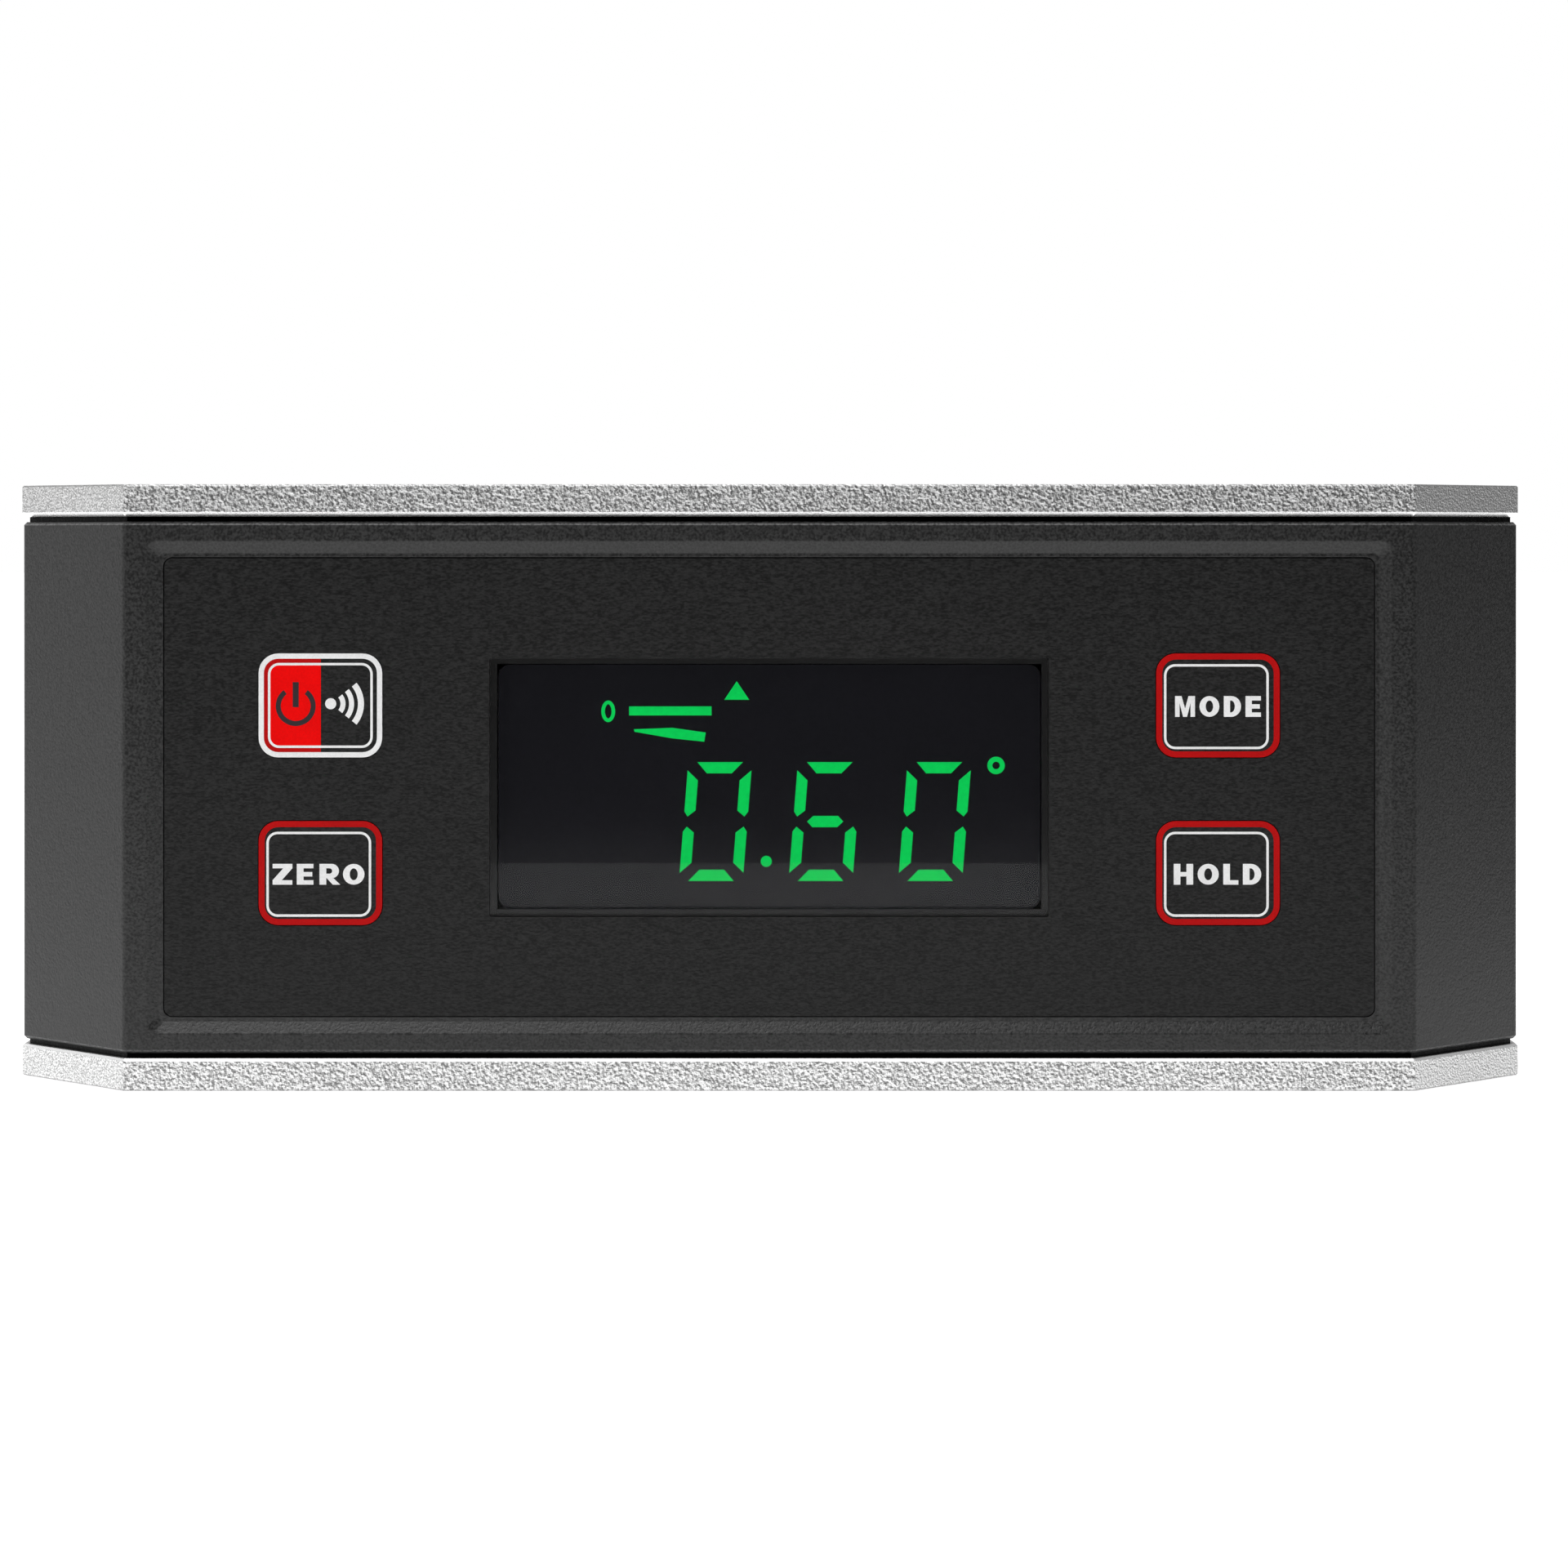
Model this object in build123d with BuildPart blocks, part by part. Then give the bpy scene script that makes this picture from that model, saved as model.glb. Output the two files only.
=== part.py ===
from build123d import *
from math import sqrt
import os

# Digital spirit level. X runs along its length, the display faces -Y and the base plate rests on Z = 0.
# All sizes are in millimetres.

# Overall size
overall_length = 152.4
overall_depth = 28.0
overall_height = 60.0
corner_cut = 12.3

# Aluminium plates
plate_thickness = 3.2
plate_gap = 0.5
plate_corner_radius = 0.5
plate_outer_bevel = 0.15
top_inner_bevel = 0.45
base_inner_bevel = 0.25

# Moulded casing, front and rear shell
casing_inset = 0.15
wall = 2.0
land_setback = 0.6
cut_corner_radius = 0.8
rear_corner_radius = 1.5
rim_bevel = 0.3
rear_casing_depth = 7.85
tongue_width = 0.8
tongue_height = 0.8
tongue_clearance = 0.1
rib_thickness = 1.0
rib_height = 3.0
rib_spacing = 40.0
rib_offset = 10.0

# Front panel, sunk field and label
border_side = 2.24
border_end = 1.93
recess_depth = 0.5
recess_bevel = 1.2
recess_rim_radius = 0.3
recess_corner_radius = 1.0
floor_corner_radius = 0.5
panel_thickness = 2.0
label_margin = 0.5
label_thickness = 0.4
label_radius = 0.8
label_groove = 0.12

# Window
window_length = 55.3
window_height = 25.6
window_radius = 0.25
lens_thickness = 1.2
lens_edge_bevel = 0.05
lens_clearance = 0.05
window_ledge = 0.7
opening_radius = 1.2

# Display stack behind the window
stack_clearance = 0.1
cell_length = 58.0
front_glass_height = 31.0
glass_ledge = 2.5
glass_thickness = 1.0
guide_border_length = 1.8
guide_border_height = 0.8
strip_clearance = 0.25
frame_wall = 1.2
ear_size = 3.4
peg_radius = 0.8
peg_clearance = 0.05
peg_projection = 0.4

# Circuit board
board_standoff = 5.75
board_thickness = 1.6
board_edge_gap = 1.8
board_boss_gap = 0.8
board_corner_cut = 2.0
board_screw_edge = 4.0
board_post_radius = 2.5
board_rest_size = 4.0

# Parts on the board
chip_size = 10.0
chip_height = 1.4
chip_x = -8.0
chip_z = 6.0
chip_bevel = 0.2
leg_length = 1.0
leg_width = 0.7
leg_thickness = 0.3
leg_pitch = 2.2
legs_per_side = 4
sensor_size = 6.0
sensor_base_height = 1.1
sensor_lid_height = 0.7
sensor_lid_inset = 0.35
sensor_x = -8.0
sensor_z = -12.0
buzzer_diameter = 12.0
buzzer_height = 5.5
buzzer_hole_diameter = 2.2
buzzer_hole_depth = 1.5
buzzer_end = 14.0
buzzer_z = 0.0
crystal_length = 10.2
crystal_width = 3.8
crystal_height = 3.2
crystal_x = -8.0
crystal_z = 16.5
sound_slot_length = 6.0
sound_slot_width = 0.8
sound_slot_pitch = 2.0
sound_slot_count = 3

# Keys and their switches
key_length = 12.24
key_height = 10.3
key_radius = 1.95
key_end = 15.45
key_spacing_z = 16.6
key_drop = 0.2
key_clearance = 0.2
key_label_clearance = 0.08
key_flange = 0.8
key_flange_thickness = 0.8
key_top = 1.2
key_side_wall = 1.0
key_post_size = 3.6
key_travel = 0.3
key_guide_wall = 0.8
key_guide_height = 1.6
switch_size = 6.2
switch_height = 3.4
switch_cover = 0.4
switch_leg_length = 0.9
switch_leg_width = 0.7
switch_leg_thickness = 0.25
switch_leg_spacing = 4.5
stem_size = 3.3
stem_projection = 0.8
stem_clearance = 0.1
stem_collar_size = 4.5
stem_collar_thickness = 0.5
stem_well_spare = 0.6

# Batteries and their bay
battery_diameter = 10.5
battery_length = 44.5
battery_nub_diameter = 3.8
battery_nub_length = 0.8
battery_rim = 0.4
battery_pitch = 11.3
battery_clearance = 0.3
cradle_depth = 2.75
bay_wall = 1.3
bay_floor = 1.2
bay_end_gap = 3.55
contact_thickness = 0.5
contact_radius = 5.0
contact_top_gap = 0.7
tab_width = 2.5
tab_clearance = 0.2
spring_length = 5.0
leaf_width = 5.0
leaf_thickness = 0.4
leaf_root = 3.6
leaf_crest = 1.6
leaf_tip_gap = 1.2
leaf_bend_radius = 0.6

# Sliding battery door and its channel
door_width = 24.8
door_cover = 1.0
door_flange = 1.0
door_overlap = 2.5
door_clearance = 0.15
rail_wall = 1.65
rail_depth = 1.5
grip_count = 5
grip_pitch = 2.0
grip_width = 0.9
grip_length = 16.0
grip_depth = 0.4
grip_end = 5.0

# Magnets in the base plate
magnet_diameter = 12.0
magnet_thickness = 2.0
magnet_sink = 0.1
magnet_clearance = 0.1
magnet_spacing = 72.0

# Plate screws
plate_screw_end = 18.2
plate_screw_setback = 14.0
plate_screw_head_radius = 3.0
plate_screw_radius = 1.5
plate_screw_length = 8.0
plate_screw_sink = 0.2
plate_screw_rim = 0.15
countersink_angle = 90.0
plate_screw_socket = 2.0
plate_screw_socket_depth = 1.2
plate_boss_size = 6.4
plate_boss_height = 8.5

# Case screws and board screws
screw_clearance = 0.05
case_screw_edge_x = 6.55
case_screw_edge_z = 5.8
case_post_radius = 3.0
case_boss_radius = 4.0
case_boss_floor = 2.0
case_screw_head_radius = 2.25
case_screw_head_height = 1.8
case_screw_radius = 1.25
case_screw_length = 10.0
board_screw_head_radius = 1.9
board_screw_head_height = 1.3
board_screw_radius = 1.0
board_screw_length = 5.0
pass_clearance = 0.2
bore_spare = 0.5
cross_span = 2.4
cross_width = 0.7
cross_depth = 0.8

# Planes and places worked out from the sizes above
half_length = overall_length / 2
half_depth = overall_depth / 2
centre_z = overall_height / 2
casing_bottom = plate_thickness + plate_gap
casing_height = overall_height - 2 * casing_bottom
casing_front = -half_depth + casing_inset
casing_rear = half_depth - casing_inset
casing_right = half_length - casing_inset
seam_y = casing_rear - rear_casing_depth
cavity_height = casing_height - 2 * wall
cavity_right = casing_right - wall
rear_wall_inner = casing_rear - wall
recess_floor = casing_front + recess_depth
label_front = recess_floor
label_seat = label_front + label_thickness
panel_back = label_seat + panel_thickness
front_flat_length = 2 * (half_length - corner_cut - casing_inset * (sqrt(2) - 1))
recess_length = front_flat_length - 2 * border_side
recess_height = casing_height - 2 * border_end
floor_length = recess_length - 2 * recess_bevel
floor_height = recess_height - 2 * recess_bevel
label_length = floor_length - 2 * label_margin
label_height = floor_height - 2 * label_margin
lens_seat_depth = lens_thickness - label_thickness
cell_front = panel_back + stack_clearance
ledge_y = cell_front + glass_thickness
cell_back = ledge_y + glass_thickness
board_front = panel_back + board_standoff
board_back = board_front + board_thickness
rear_glass_height = front_glass_height - 2 * glass_ledge
strip_width = glass_ledge - 2 * strip_clearance
strip_z = (front_glass_height - glass_ledge) / 2
ear_x = cell_length / 2 + stack_clearance + frame_wall + peg_radius
plate_screw_x = half_length - plate_screw_end
plate_screw_points = [(side * plate_screw_x, plate_screw_setback - half_depth) for side in (-1, 1)]
board_length = 2 * (plate_screw_x - plate_boss_size / 2 - board_boss_gap)
board_height = cavity_height - 2 * board_edge_gap
buzzer_x = buzzer_end - board_length / 2
board_screw_x = board_length / 2 - board_screw_edge
board_screw_z = board_height / 2 - board_screw_edge
board_screw_points = [(-board_screw_x, board_screw_z), (board_screw_x, -board_screw_z)]
board_rest_points = [(board_screw_x, board_screw_z), (-board_screw_x, -board_screw_z)]
case_screw_x = cavity_right - case_screw_edge_x
case_screw_z = cavity_height / 2 - case_screw_edge_z
case_screw_points = [(x, z) for x in (-case_screw_x, case_screw_x) for z in (-case_screw_z, case_screw_z)]
case_head_seat = seam_y + case_boss_floor
countersink_radius = plate_screw_head_radius + plate_screw_sink + plate_screw_rim + screw_clearance
switch_front = board_front - switch_height
stem_front = switch_front - stem_projection
key_x = label_length / 2 - key_end
key_points = {
    "power": (-key_x, key_spacing_z / 2 - key_drop),
    "zero": (-key_x, -key_spacing_z / 2 - key_drop),
    "mode": (key_x, key_spacing_z / 2 - key_drop),
    "hold": (key_x, -key_spacing_z / 2 - key_drop),
}
battery_y = rear_wall_inner - battery_clearance - battery_diameter / 2
trough_radius = battery_diameter / 2 + battery_clearance
bay_half_height = battery_pitch / 2 + trough_radius
bay_front = battery_y - trough_radius - bay_floor
bay_length = battery_length + spring_length + 2 * contact_thickness
bay_right = cavity_right - bay_end_gap
bay_left = bay_right - bay_length
upper_battery_z = centre_z + battery_pitch / 2
lower_battery_z = centre_z - battery_pitch / 2
door_left = bay_left - door_overlap
door_step = casing_rear - door_cover
door_half = door_width / 2
channel_left = door_left - door_clearance
channel_front = rear_wall_inner - door_clearance
channel_half = door_half + door_flange + door_clearance
rail_half = channel_half + rail_wall
magnet_pocket_depth = magnet_thickness + magnet_sink

os.makedirs("parts", exist_ok=True)


def save(part, label):
    """Label a finished piece and write it as its own file."""
    part.label = label
    export_step(part, "parts/" + label + ".step")


def front_plane(y):
    """Plane at depth y that faces the user, centred on the casing."""
    return Plane(origin=(0, y, centre_z), x_dir=(1, 0, 0), z_dir=(0, -1, 0))


def rear_plane(y):
    """Plane at depth y that faces the rear, centred on the casing, with its own X towards -X."""
    return Plane(origin=(0, y, centre_z), x_dir=(-1, 0, 0), z_dir=(0, 1, 0))


def plan_outline(inset):
    """Outline of the level from above, set in by the given amount all round."""
    with BuildSketch() as outline:
        Rectangle(overall_length - 2 * inset, overall_depth - 2 * inset)
        front_corners = outline.vertices().group_by(Axis.Y)[0]
        chamfer(front_corners, corner_cut - inset * (2 - sqrt(2)))
    return outline.sketch


def upright_block(inset, bottom):
    """Block with the plan outline, standing between the given height and the same below the top."""
    with BuildPart() as block:
        with BuildSketch(Plane.XY.offset(bottom)):
            add(plan_outline(inset))
        extrude(amount=overall_height - 2 * bottom)
    return block.part


def at_plate_screws(section, bottom, height):
    """Upright columns of the given section at the plate screws, at both plates."""
    with BuildPart() as columns:
        with BuildSketch(Plane.XY.offset(bottom)):
            with Locations(*plate_screw_points):
                add(section)
        extrude(amount=height)
        mirror(about=Plane.XY.offset(centre_z))
    return columns.part


# Casing shape: rounded outer block with the sunk label field, and the lands that the plates rest on
with BuildPart() as outer_block:
    with BuildSketch(Plane.XY.offset(casing_bottom)):
        add(plan_outline(casing_inset))
    extrude(amount=casing_height)
    # Sunk field with a bevelled border and a soft rim
    with BuildSketch(front_plane(casing_front)):
        RectangleRounded(recess_length, recess_height, recess_corner_radius)
    with BuildSketch(front_plane(recess_floor)):
        RectangleRounded(floor_length, floor_height, floor_corner_radius)
    loft(mode=Mode.SUBTRACT)
    front_face = outer_block.faces().filter_by(Plane.XZ).sort_by(Axis.Y)[0]
    fillet(front_face.inner_wires()[0].edges(), recess_rim_radius)
    # Rounded corners, seen from above, and bevelled upper and lower rims
    upright_edges = outer_block.edges().filter_by(Axis.Z).group_by(SortBy.LENGTH)[-1]
    fillet(upright_edges.group_by(Axis.Y)[-1], rear_corner_radius)
    upright_edges = outer_block.edges().filter_by(Axis.Z).group_by(SortBy.LENGTH)[-1]
    fillet(upright_edges.group_by(Axis.Y)[0] + upright_edges.group_by(Axis.Y)[1], cut_corner_radius)
    chamfer(outer_block.faces().sort_by(Axis.Z)[-1].edges(), rim_bevel)
    chamfer(outer_block.faces().sort_by(Axis.Z)[0].edges(), rim_bevel)
    add(upright_block(casing_inset + land_setback, plate_thickness))

# Room inside the casing, and a middle surface that ends the case posts inside the wall
with BuildPart() as cavity:
    add(upright_block(casing_inset + wall, casing_bottom + wall))
    split(bisect_by=Plane.XZ.offset(-panel_back), keep=Keep.BOTTOM)

mid_wall_block = upright_block(casing_inset + wall / 2, casing_bottom + wall / 2)

with BuildPart() as case_posts:
    with BuildSketch(front_plane(seam_y)):
        with Locations(*case_screw_points):
            Circle(case_post_radius)
    extrude(amount=seam_y - panel_back)
    add(mid_wall_block, mode=Mode.INTERSECT)

plate_bosses = at_plate_screws(Rectangle(plate_boss_size, plate_boss_size, mode=Mode.PRIVATE),
                               casing_bottom + wall / 2, plate_boss_height)
plate_bores = at_plate_screws(Circle(plate_screw_radius + screw_clearance, mode=Mode.PRIVATE),
                              plate_thickness, plate_boss_height + wall / 2)

# Front casing: panel with the sunk field, window and key openings, posts and guides behind it
with BuildPart() as front_casing:
    add(outer_block.part)
    split(bisect_by=Plane.XZ.offset(-seam_y), keep=Keep.TOP)
    add(cavity.part, mode=Mode.SUBTRACT)
    # Shallow pocket that the label lies flush in
    with BuildSketch(front_plane(label_front)):
        RectangleRounded(label_length + 2 * label_groove, label_height + 2 * label_groove,
                         label_radius + label_groove)
    extrude(amount=-label_thickness, mode=Mode.SUBTRACT)
    # Window opening with the seat of the lens
    with BuildSketch(front_plane(label_seat)):
        RectangleRounded(window_length + 2 * lens_clearance, window_height + 2 * lens_clearance,
                         window_radius)
    extrude(amount=-lens_seat_depth, mode=Mode.SUBTRACT)
    with BuildSketch(front_plane(label_seat)):
        RectangleRounded(window_length - 2 * window_ledge, window_height - 2 * window_ledge, opening_radius)
    extrude(amount=-panel_thickness, mode=Mode.SUBTRACT)
    # Key openings and the guide collars behind them
    with BuildSketch(front_plane(panel_back)):
        with Locations(*key_points.values()):
            guide_length = key_length + 2 * (key_flange + key_clearance)
            guide_height = key_height + 2 * (key_flange + key_clearance)
            Rectangle(guide_length + 2 * key_guide_wall, guide_height + 2 * key_guide_wall)
            Rectangle(guide_length, guide_height, mode=Mode.SUBTRACT)
    extrude(amount=-key_guide_height)
    with BuildSketch(front_plane(label_seat)):
        with Locations(*key_points.values()):
            RectangleRounded(key_length + 2 * key_clearance, key_height + 2 * key_clearance,
                             key_radius + key_clearance)
    extrude(amount=-panel_thickness, mode=Mode.SUBTRACT)
    # Board posts and case posts with their screw bores
    with BuildSketch(front_plane(board_front)):
        with Locations(*board_screw_points):
            Circle(board_post_radius)
            Circle(board_screw_radius + screw_clearance, mode=Mode.SUBTRACT)
        with Locations(*board_rest_points):
            Rectangle(board_rest_size, board_rest_size)
    extrude(amount=board_standoff)
    add(case_posts.part)
    with BuildSketch(front_plane(seam_y)):
        with Locations(*case_screw_points):
            Circle(case_screw_radius + screw_clearance)
    extrude(amount=case_screw_length - case_boss_floor + bore_spare, mode=Mode.SUBTRACT)
    # Bosses for the plate screws
    add(plate_bosses)
    add(plate_bores, mode=Mode.SUBTRACT)
    # Tongue round the seam
    with BuildSketch(rear_plane(seam_y)):
        tongue_inner = (2 * cavity_right + 2 * tongue_clearance, cavity_height + 2 * tongue_clearance)
        Rectangle(tongue_inner[0] + 2 * tongue_width, tongue_inner[1] + 2 * tongue_width)
        Rectangle(*tongue_inner, mode=Mode.SUBTRACT)
    extrude(amount=tongue_height)
save(front_casing.part, "front_casing")

# Rear casing: wall with ribs, screw bosses, battery bay and the channel of the sliding door
with BuildPart() as rear_casing:
    add(outer_block.part)
    split(bisect_by=Plane.XZ.offset(-seam_y), keep=Keep.BOTTOM)
    add(cavity.part, mode=Mode.SUBTRACT)
    # Stiffening ribs across the rear wall
    with BuildSketch(front_plane(rear_wall_inner)):
        with Locations((buzzer_x + rib_offset, 0)):
            with GridLocations(rib_spacing, 0, 2, 1):
                Rectangle(rib_thickness, cavity_height)
    extrude(amount=rib_height)
    # Bosses for the case screws
    with BuildSketch(front_plane(rear_wall_inner)):
        with Locations(*case_screw_points):
            Circle(case_boss_radius)
    extrude(amount=rear_wall_inner - seam_y)
    # Thickened frame behind the channel, and the bay that stands in the casing
    frame_left = channel_left - rail_wall
    with BuildSketch(front_plane(rear_wall_inner)):
        with Locations(((frame_left + cavity_right) / 2, 0)):
            Rectangle(cavity_right - frame_left, 2 * rail_half)
    extrude(amount=rail_depth + door_clearance)
    with BuildSketch(front_plane(rear_wall_inner)):
        with Locations(((bay_left + bay_right) / 2, 0)):
            Rectangle(bay_length + 2 * bay_wall, 2 * (bay_half_height + bay_wall))
    extrude(amount=rear_wall_inner - bay_front)
    # Room for the two batteries: a cradle of two round troughs
    with BuildSketch(Plane.YZ.offset(bay_left)):
        with Locations((battery_y, upper_battery_z), (battery_y, lower_battery_z)):
            Circle(trough_radius)
        with Locations(((battery_y - cradle_depth + rear_wall_inner) / 2, centre_z)):
            Rectangle(rear_wall_inner - battery_y + cradle_depth, 2 * bay_half_height)
    extrude(amount=bay_length, mode=Mode.SUBTRACT)
    # Slots in the floor for the tabs of the two board contacts
    with BuildSketch(front_plane(battery_y)):
        with Locations((bay_left + (contact_thickness + tab_clearance) / 2, 0)):
            with GridLocations(0, battery_pitch, 1, 2):
                Rectangle(contact_thickness + tab_clearance, tab_width + 2 * tab_clearance)
    extrude(amount=battery_y - bay_front, mode=Mode.SUBTRACT)
    # Channel of the door, open at the right end
    with BuildSketch(Plane.YZ.offset(channel_left)):
        with Locations(((channel_front + door_step + door_clearance) / 2, centre_z)):
            Rectangle(door_step + door_clearance - channel_front, 2 * channel_half)
        with Locations(((channel_front + half_depth) / 2, centre_z)):
            Rectangle(half_depth - channel_front, door_width + 2 * door_clearance)
    extrude(amount=half_length - channel_left, mode=Mode.SUBTRACT)
    # Counterbored holes for the case screws
    with Locations(rear_plane(casing_rear)):
        with Locations(*case_screw_points):
            CounterBoreHole(case_screw_radius + pass_clearance, case_screw_head_radius + pass_clearance,
                            casing_rear - case_head_seat, depth=rear_casing_depth)
    # Sound slots over the buzzer
    with BuildSketch(front_plane(casing_rear)):
        with Locations((buzzer_x, buzzer_z)):
            with GridLocations(0, sound_slot_pitch, 1, sound_slot_count):
                Rectangle(sound_slot_length, sound_slot_width)
    extrude(amount=wall, mode=Mode.SUBTRACT)
    # Groove for the tongue of the front casing
    with BuildSketch(rear_plane(seam_y)):
        groove = tongue_width + 2 * tongue_clearance
        Rectangle(2 * (cavity_right + groove), cavity_height + 2 * groove)
        Rectangle(2 * cavity_right, cavity_height, mode=Mode.SUBTRACT)
    extrude(amount=tongue_height + tongue_clearance, mode=Mode.SUBTRACT)
save(rear_casing.part, "rear_casing")

# Battery door: stepped plate that slides in the channel, with grip grooves near its outer end
with BuildPart() as battery_door:
    with BuildSketch(Plane.YZ.offset(door_left)):
        with Locations(((rear_wall_inner + door_step) / 2, centre_z)):
            Rectangle(door_step - rear_wall_inner, door_width + 2 * door_flange)
        with Locations(((door_step + casing_rear) / 2, centre_z)):
            Rectangle(door_cover, door_width)
    extrude(amount=casing_right - door_left)
    add(outer_block.part, mode=Mode.INTERSECT)
    grip_centre = casing_right - grip_end - (grip_count - 1) * grip_pitch / 2
    with BuildSketch(rear_plane(casing_rear)):
        with Locations((-grip_centre, 0)):
            with GridLocations(grip_pitch, 0, grip_count, 1):
                Rectangle(grip_width, grip_length)
    extrude(amount=-grip_depth, mode=Mode.SUBTRACT)
save(battery_door.part, "battery_door")


def plate_blank(inner_bevel):
    """Aluminium plate with its outer face on Z = 0, bevelled, with countersunk screw holes."""
    with BuildPart() as plate:
        with BuildSketch():
            add(plan_outline(0))
        extrude(amount=plate_thickness)
        fillet(plate.edges().filter_by(Axis.Z), plate_corner_radius)
        chamfer(plate.faces().sort_by(Axis.Z)[0].edges(), plate_outer_bevel)
        chamfer(plate.faces().sort_by(Axis.Z)[-1].edges(), inner_bevel)
        outward = [Plane(origin=(x, y, 0), x_dir=(1, 0, 0), z_dir=(0, 0, -1))
                   for x, y in plate_screw_points]
        with Locations(*outward):
            CounterSinkHole(plate_screw_radius + pass_clearance, countersink_radius, depth=plate_thickness,
                            counter_sink_angle=countersink_angle)
    return plate.part


# Base plate with two magnet pockets, and the top plate, which is its bare mirror image
with BuildPart() as base_plate:
    add(plate_blank(base_inner_bevel))
    with BuildSketch():
        with GridLocations(magnet_spacing, 0, 2, 1):
            Circle(magnet_diameter / 2 + magnet_clearance)
    extrude(amount=magnet_pocket_depth, mode=Mode.SUBTRACT)
save(base_plate.part, "base_plate")

with BuildPart() as top_plate:
    mirror(plate_blank(top_inner_bevel), about=Plane.XY.offset(centre_z))
save(top_plate.part, "top_plate")

# Magnets, seated against the bottom of their pockets
for name, side in (("left_magnet", -1), ("right_magnet", 1)):
    with BuildPart() as magnet:
        with BuildSketch(Plane.XY.offset(magnet_sink)):
            with Locations((side * magnet_spacing / 2, 0)):
                Circle(magnet_diameter / 2)
        extrude(amount=magnet_thickness)
    save(magnet.part, name)

# Label with its openings, and the lens
with BuildPart() as label_overlay:
    with BuildSketch(front_plane(label_seat)):
        RectangleRounded(label_length, label_height, label_radius)
        RectangleRounded(window_length + 2 * lens_clearance, window_height + 2 * lens_clearance,
                         window_radius, mode=Mode.SUBTRACT)
        with Locations(*key_points.values()):
            RectangleRounded(key_length + 2 * key_label_clearance, key_height + 2 * key_label_clearance,
                             key_radius + key_label_clearance, mode=Mode.SUBTRACT)
    extrude(amount=label_thickness)
save(label_overlay.part, "label_overlay")

with BuildPart() as window_lens:
    with BuildSketch(front_plane(label_front)):
        RectangleRounded(window_length, window_height, window_radius)
    extrude(amount=-lens_thickness)
    chamfer(window_lens.faces().sort_by(Axis.Y)[0].edges(), lens_edge_bevel)
save(window_lens.part, "window_lens")

# Display cell: two sheets of glass, the front one taller to make the contact ledges
with BuildPart() as display_cell:
    with BuildSketch(front_plane(cell_front)):
        Rectangle(cell_length, front_glass_height)
    extrude(amount=-glass_thickness)
    with BuildSketch(front_plane(ledge_y)):
        Rectangle(cell_length, rear_glass_height)
    extrude(amount=-glass_thickness)
save(display_cell.part, "display_cell")

with BuildPart() as light_guide:
    with BuildSketch(front_plane(cell_back)):
        Rectangle(cell_length - 2 * guide_border_length, rear_glass_height - 2 * guide_border_height)
    extrude(amount=cell_back - board_front)
save(light_guide.part, "light_guide")

for name, side in (("zebra_strip_top", 1), ("zebra_strip_bottom", -1)):
    with BuildPart() as zebra_strip:
        with BuildSketch(front_plane(ledge_y)):
            with Locations((0, side * strip_z)):
                Rectangle(cell_length, strip_width)
        extrude(amount=ledge_y - board_front)
    save(zebra_strip.part, name)

# Frame round the display stack, pegged to the board at an ear on each side
with BuildPart() as display_frame:
    with BuildSketch(front_plane(board_front)):
        opening = (cell_length + 2 * stack_clearance, front_glass_height + 2 * stack_clearance)
        Rectangle(opening[0] + 2 * frame_wall, opening[1] + 2 * frame_wall)
        with GridLocations(2 * ear_x, 0, 2, 1):
            Rectangle(ear_size, ear_size)
        Rectangle(*opening, mode=Mode.SUBTRACT)
    extrude(amount=board_front - cell_front)
    with BuildSketch(front_plane(board_front)):
        with GridLocations(2 * ear_x, 0, 2, 1):
            Circle(peg_radius)
    extrude(amount=-board_thickness - peg_projection)
save(display_frame.part, "display_frame")

# Circuit board with screw and peg holes
with BuildPart() as main_board:
    with BuildSketch(front_plane(board_back)):
        board_outline = Rectangle(board_length, board_height)
        chamfer(board_outline.vertices(), board_corner_cut)
        with Locations(*board_screw_points):
            Circle(board_screw_radius + pass_clearance, mode=Mode.SUBTRACT)
        with GridLocations(2 * ear_x, 0, 2, 1):
            Circle(peg_radius + peg_clearance, mode=Mode.SUBTRACT)
    extrude(amount=board_thickness)
save(main_board.part, "main_board")

# Processor chip: moulded body with a row of flat legs on each side
with BuildPart() as processor_chip:
    with BuildSketch(front_plane(board_back)):
        with Locations((chip_x, chip_z)):
            Rectangle(chip_size, chip_size)
    extrude(amount=-chip_height)
    chamfer(processor_chip.faces().sort_by(Axis.Y)[-1].edges(), chip_bevel)
    with BuildSketch(front_plane(board_back)):
        with Locations((chip_x, chip_z)):
            with GridLocations(chip_size + leg_length, leg_pitch, 2, legs_per_side):
                Rectangle(leg_length, leg_width)
            with GridLocations(leg_pitch, chip_size + leg_length, legs_per_side, 2):
                Rectangle(leg_width, leg_length)
    extrude(amount=-leg_thickness)
save(processor_chip.part, "processor_chip")

# Tilt sensor: square package with a stepped lid
with BuildPart() as tilt_sensor:
    with BuildSketch(front_plane(board_back)):
        with Locations((sensor_x, sensor_z)):
            Rectangle(sensor_size, sensor_size)
    extrude(amount=-sensor_base_height)
    with BuildSketch(front_plane(board_back + sensor_base_height)):
        with Locations((sensor_x, sensor_z)):
            Rectangle(sensor_size - 2 * sensor_lid_inset, sensor_size - 2 * sensor_lid_inset)
    extrude(amount=-sensor_lid_height)
save(tilt_sensor.part, "tilt_sensor")

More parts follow.
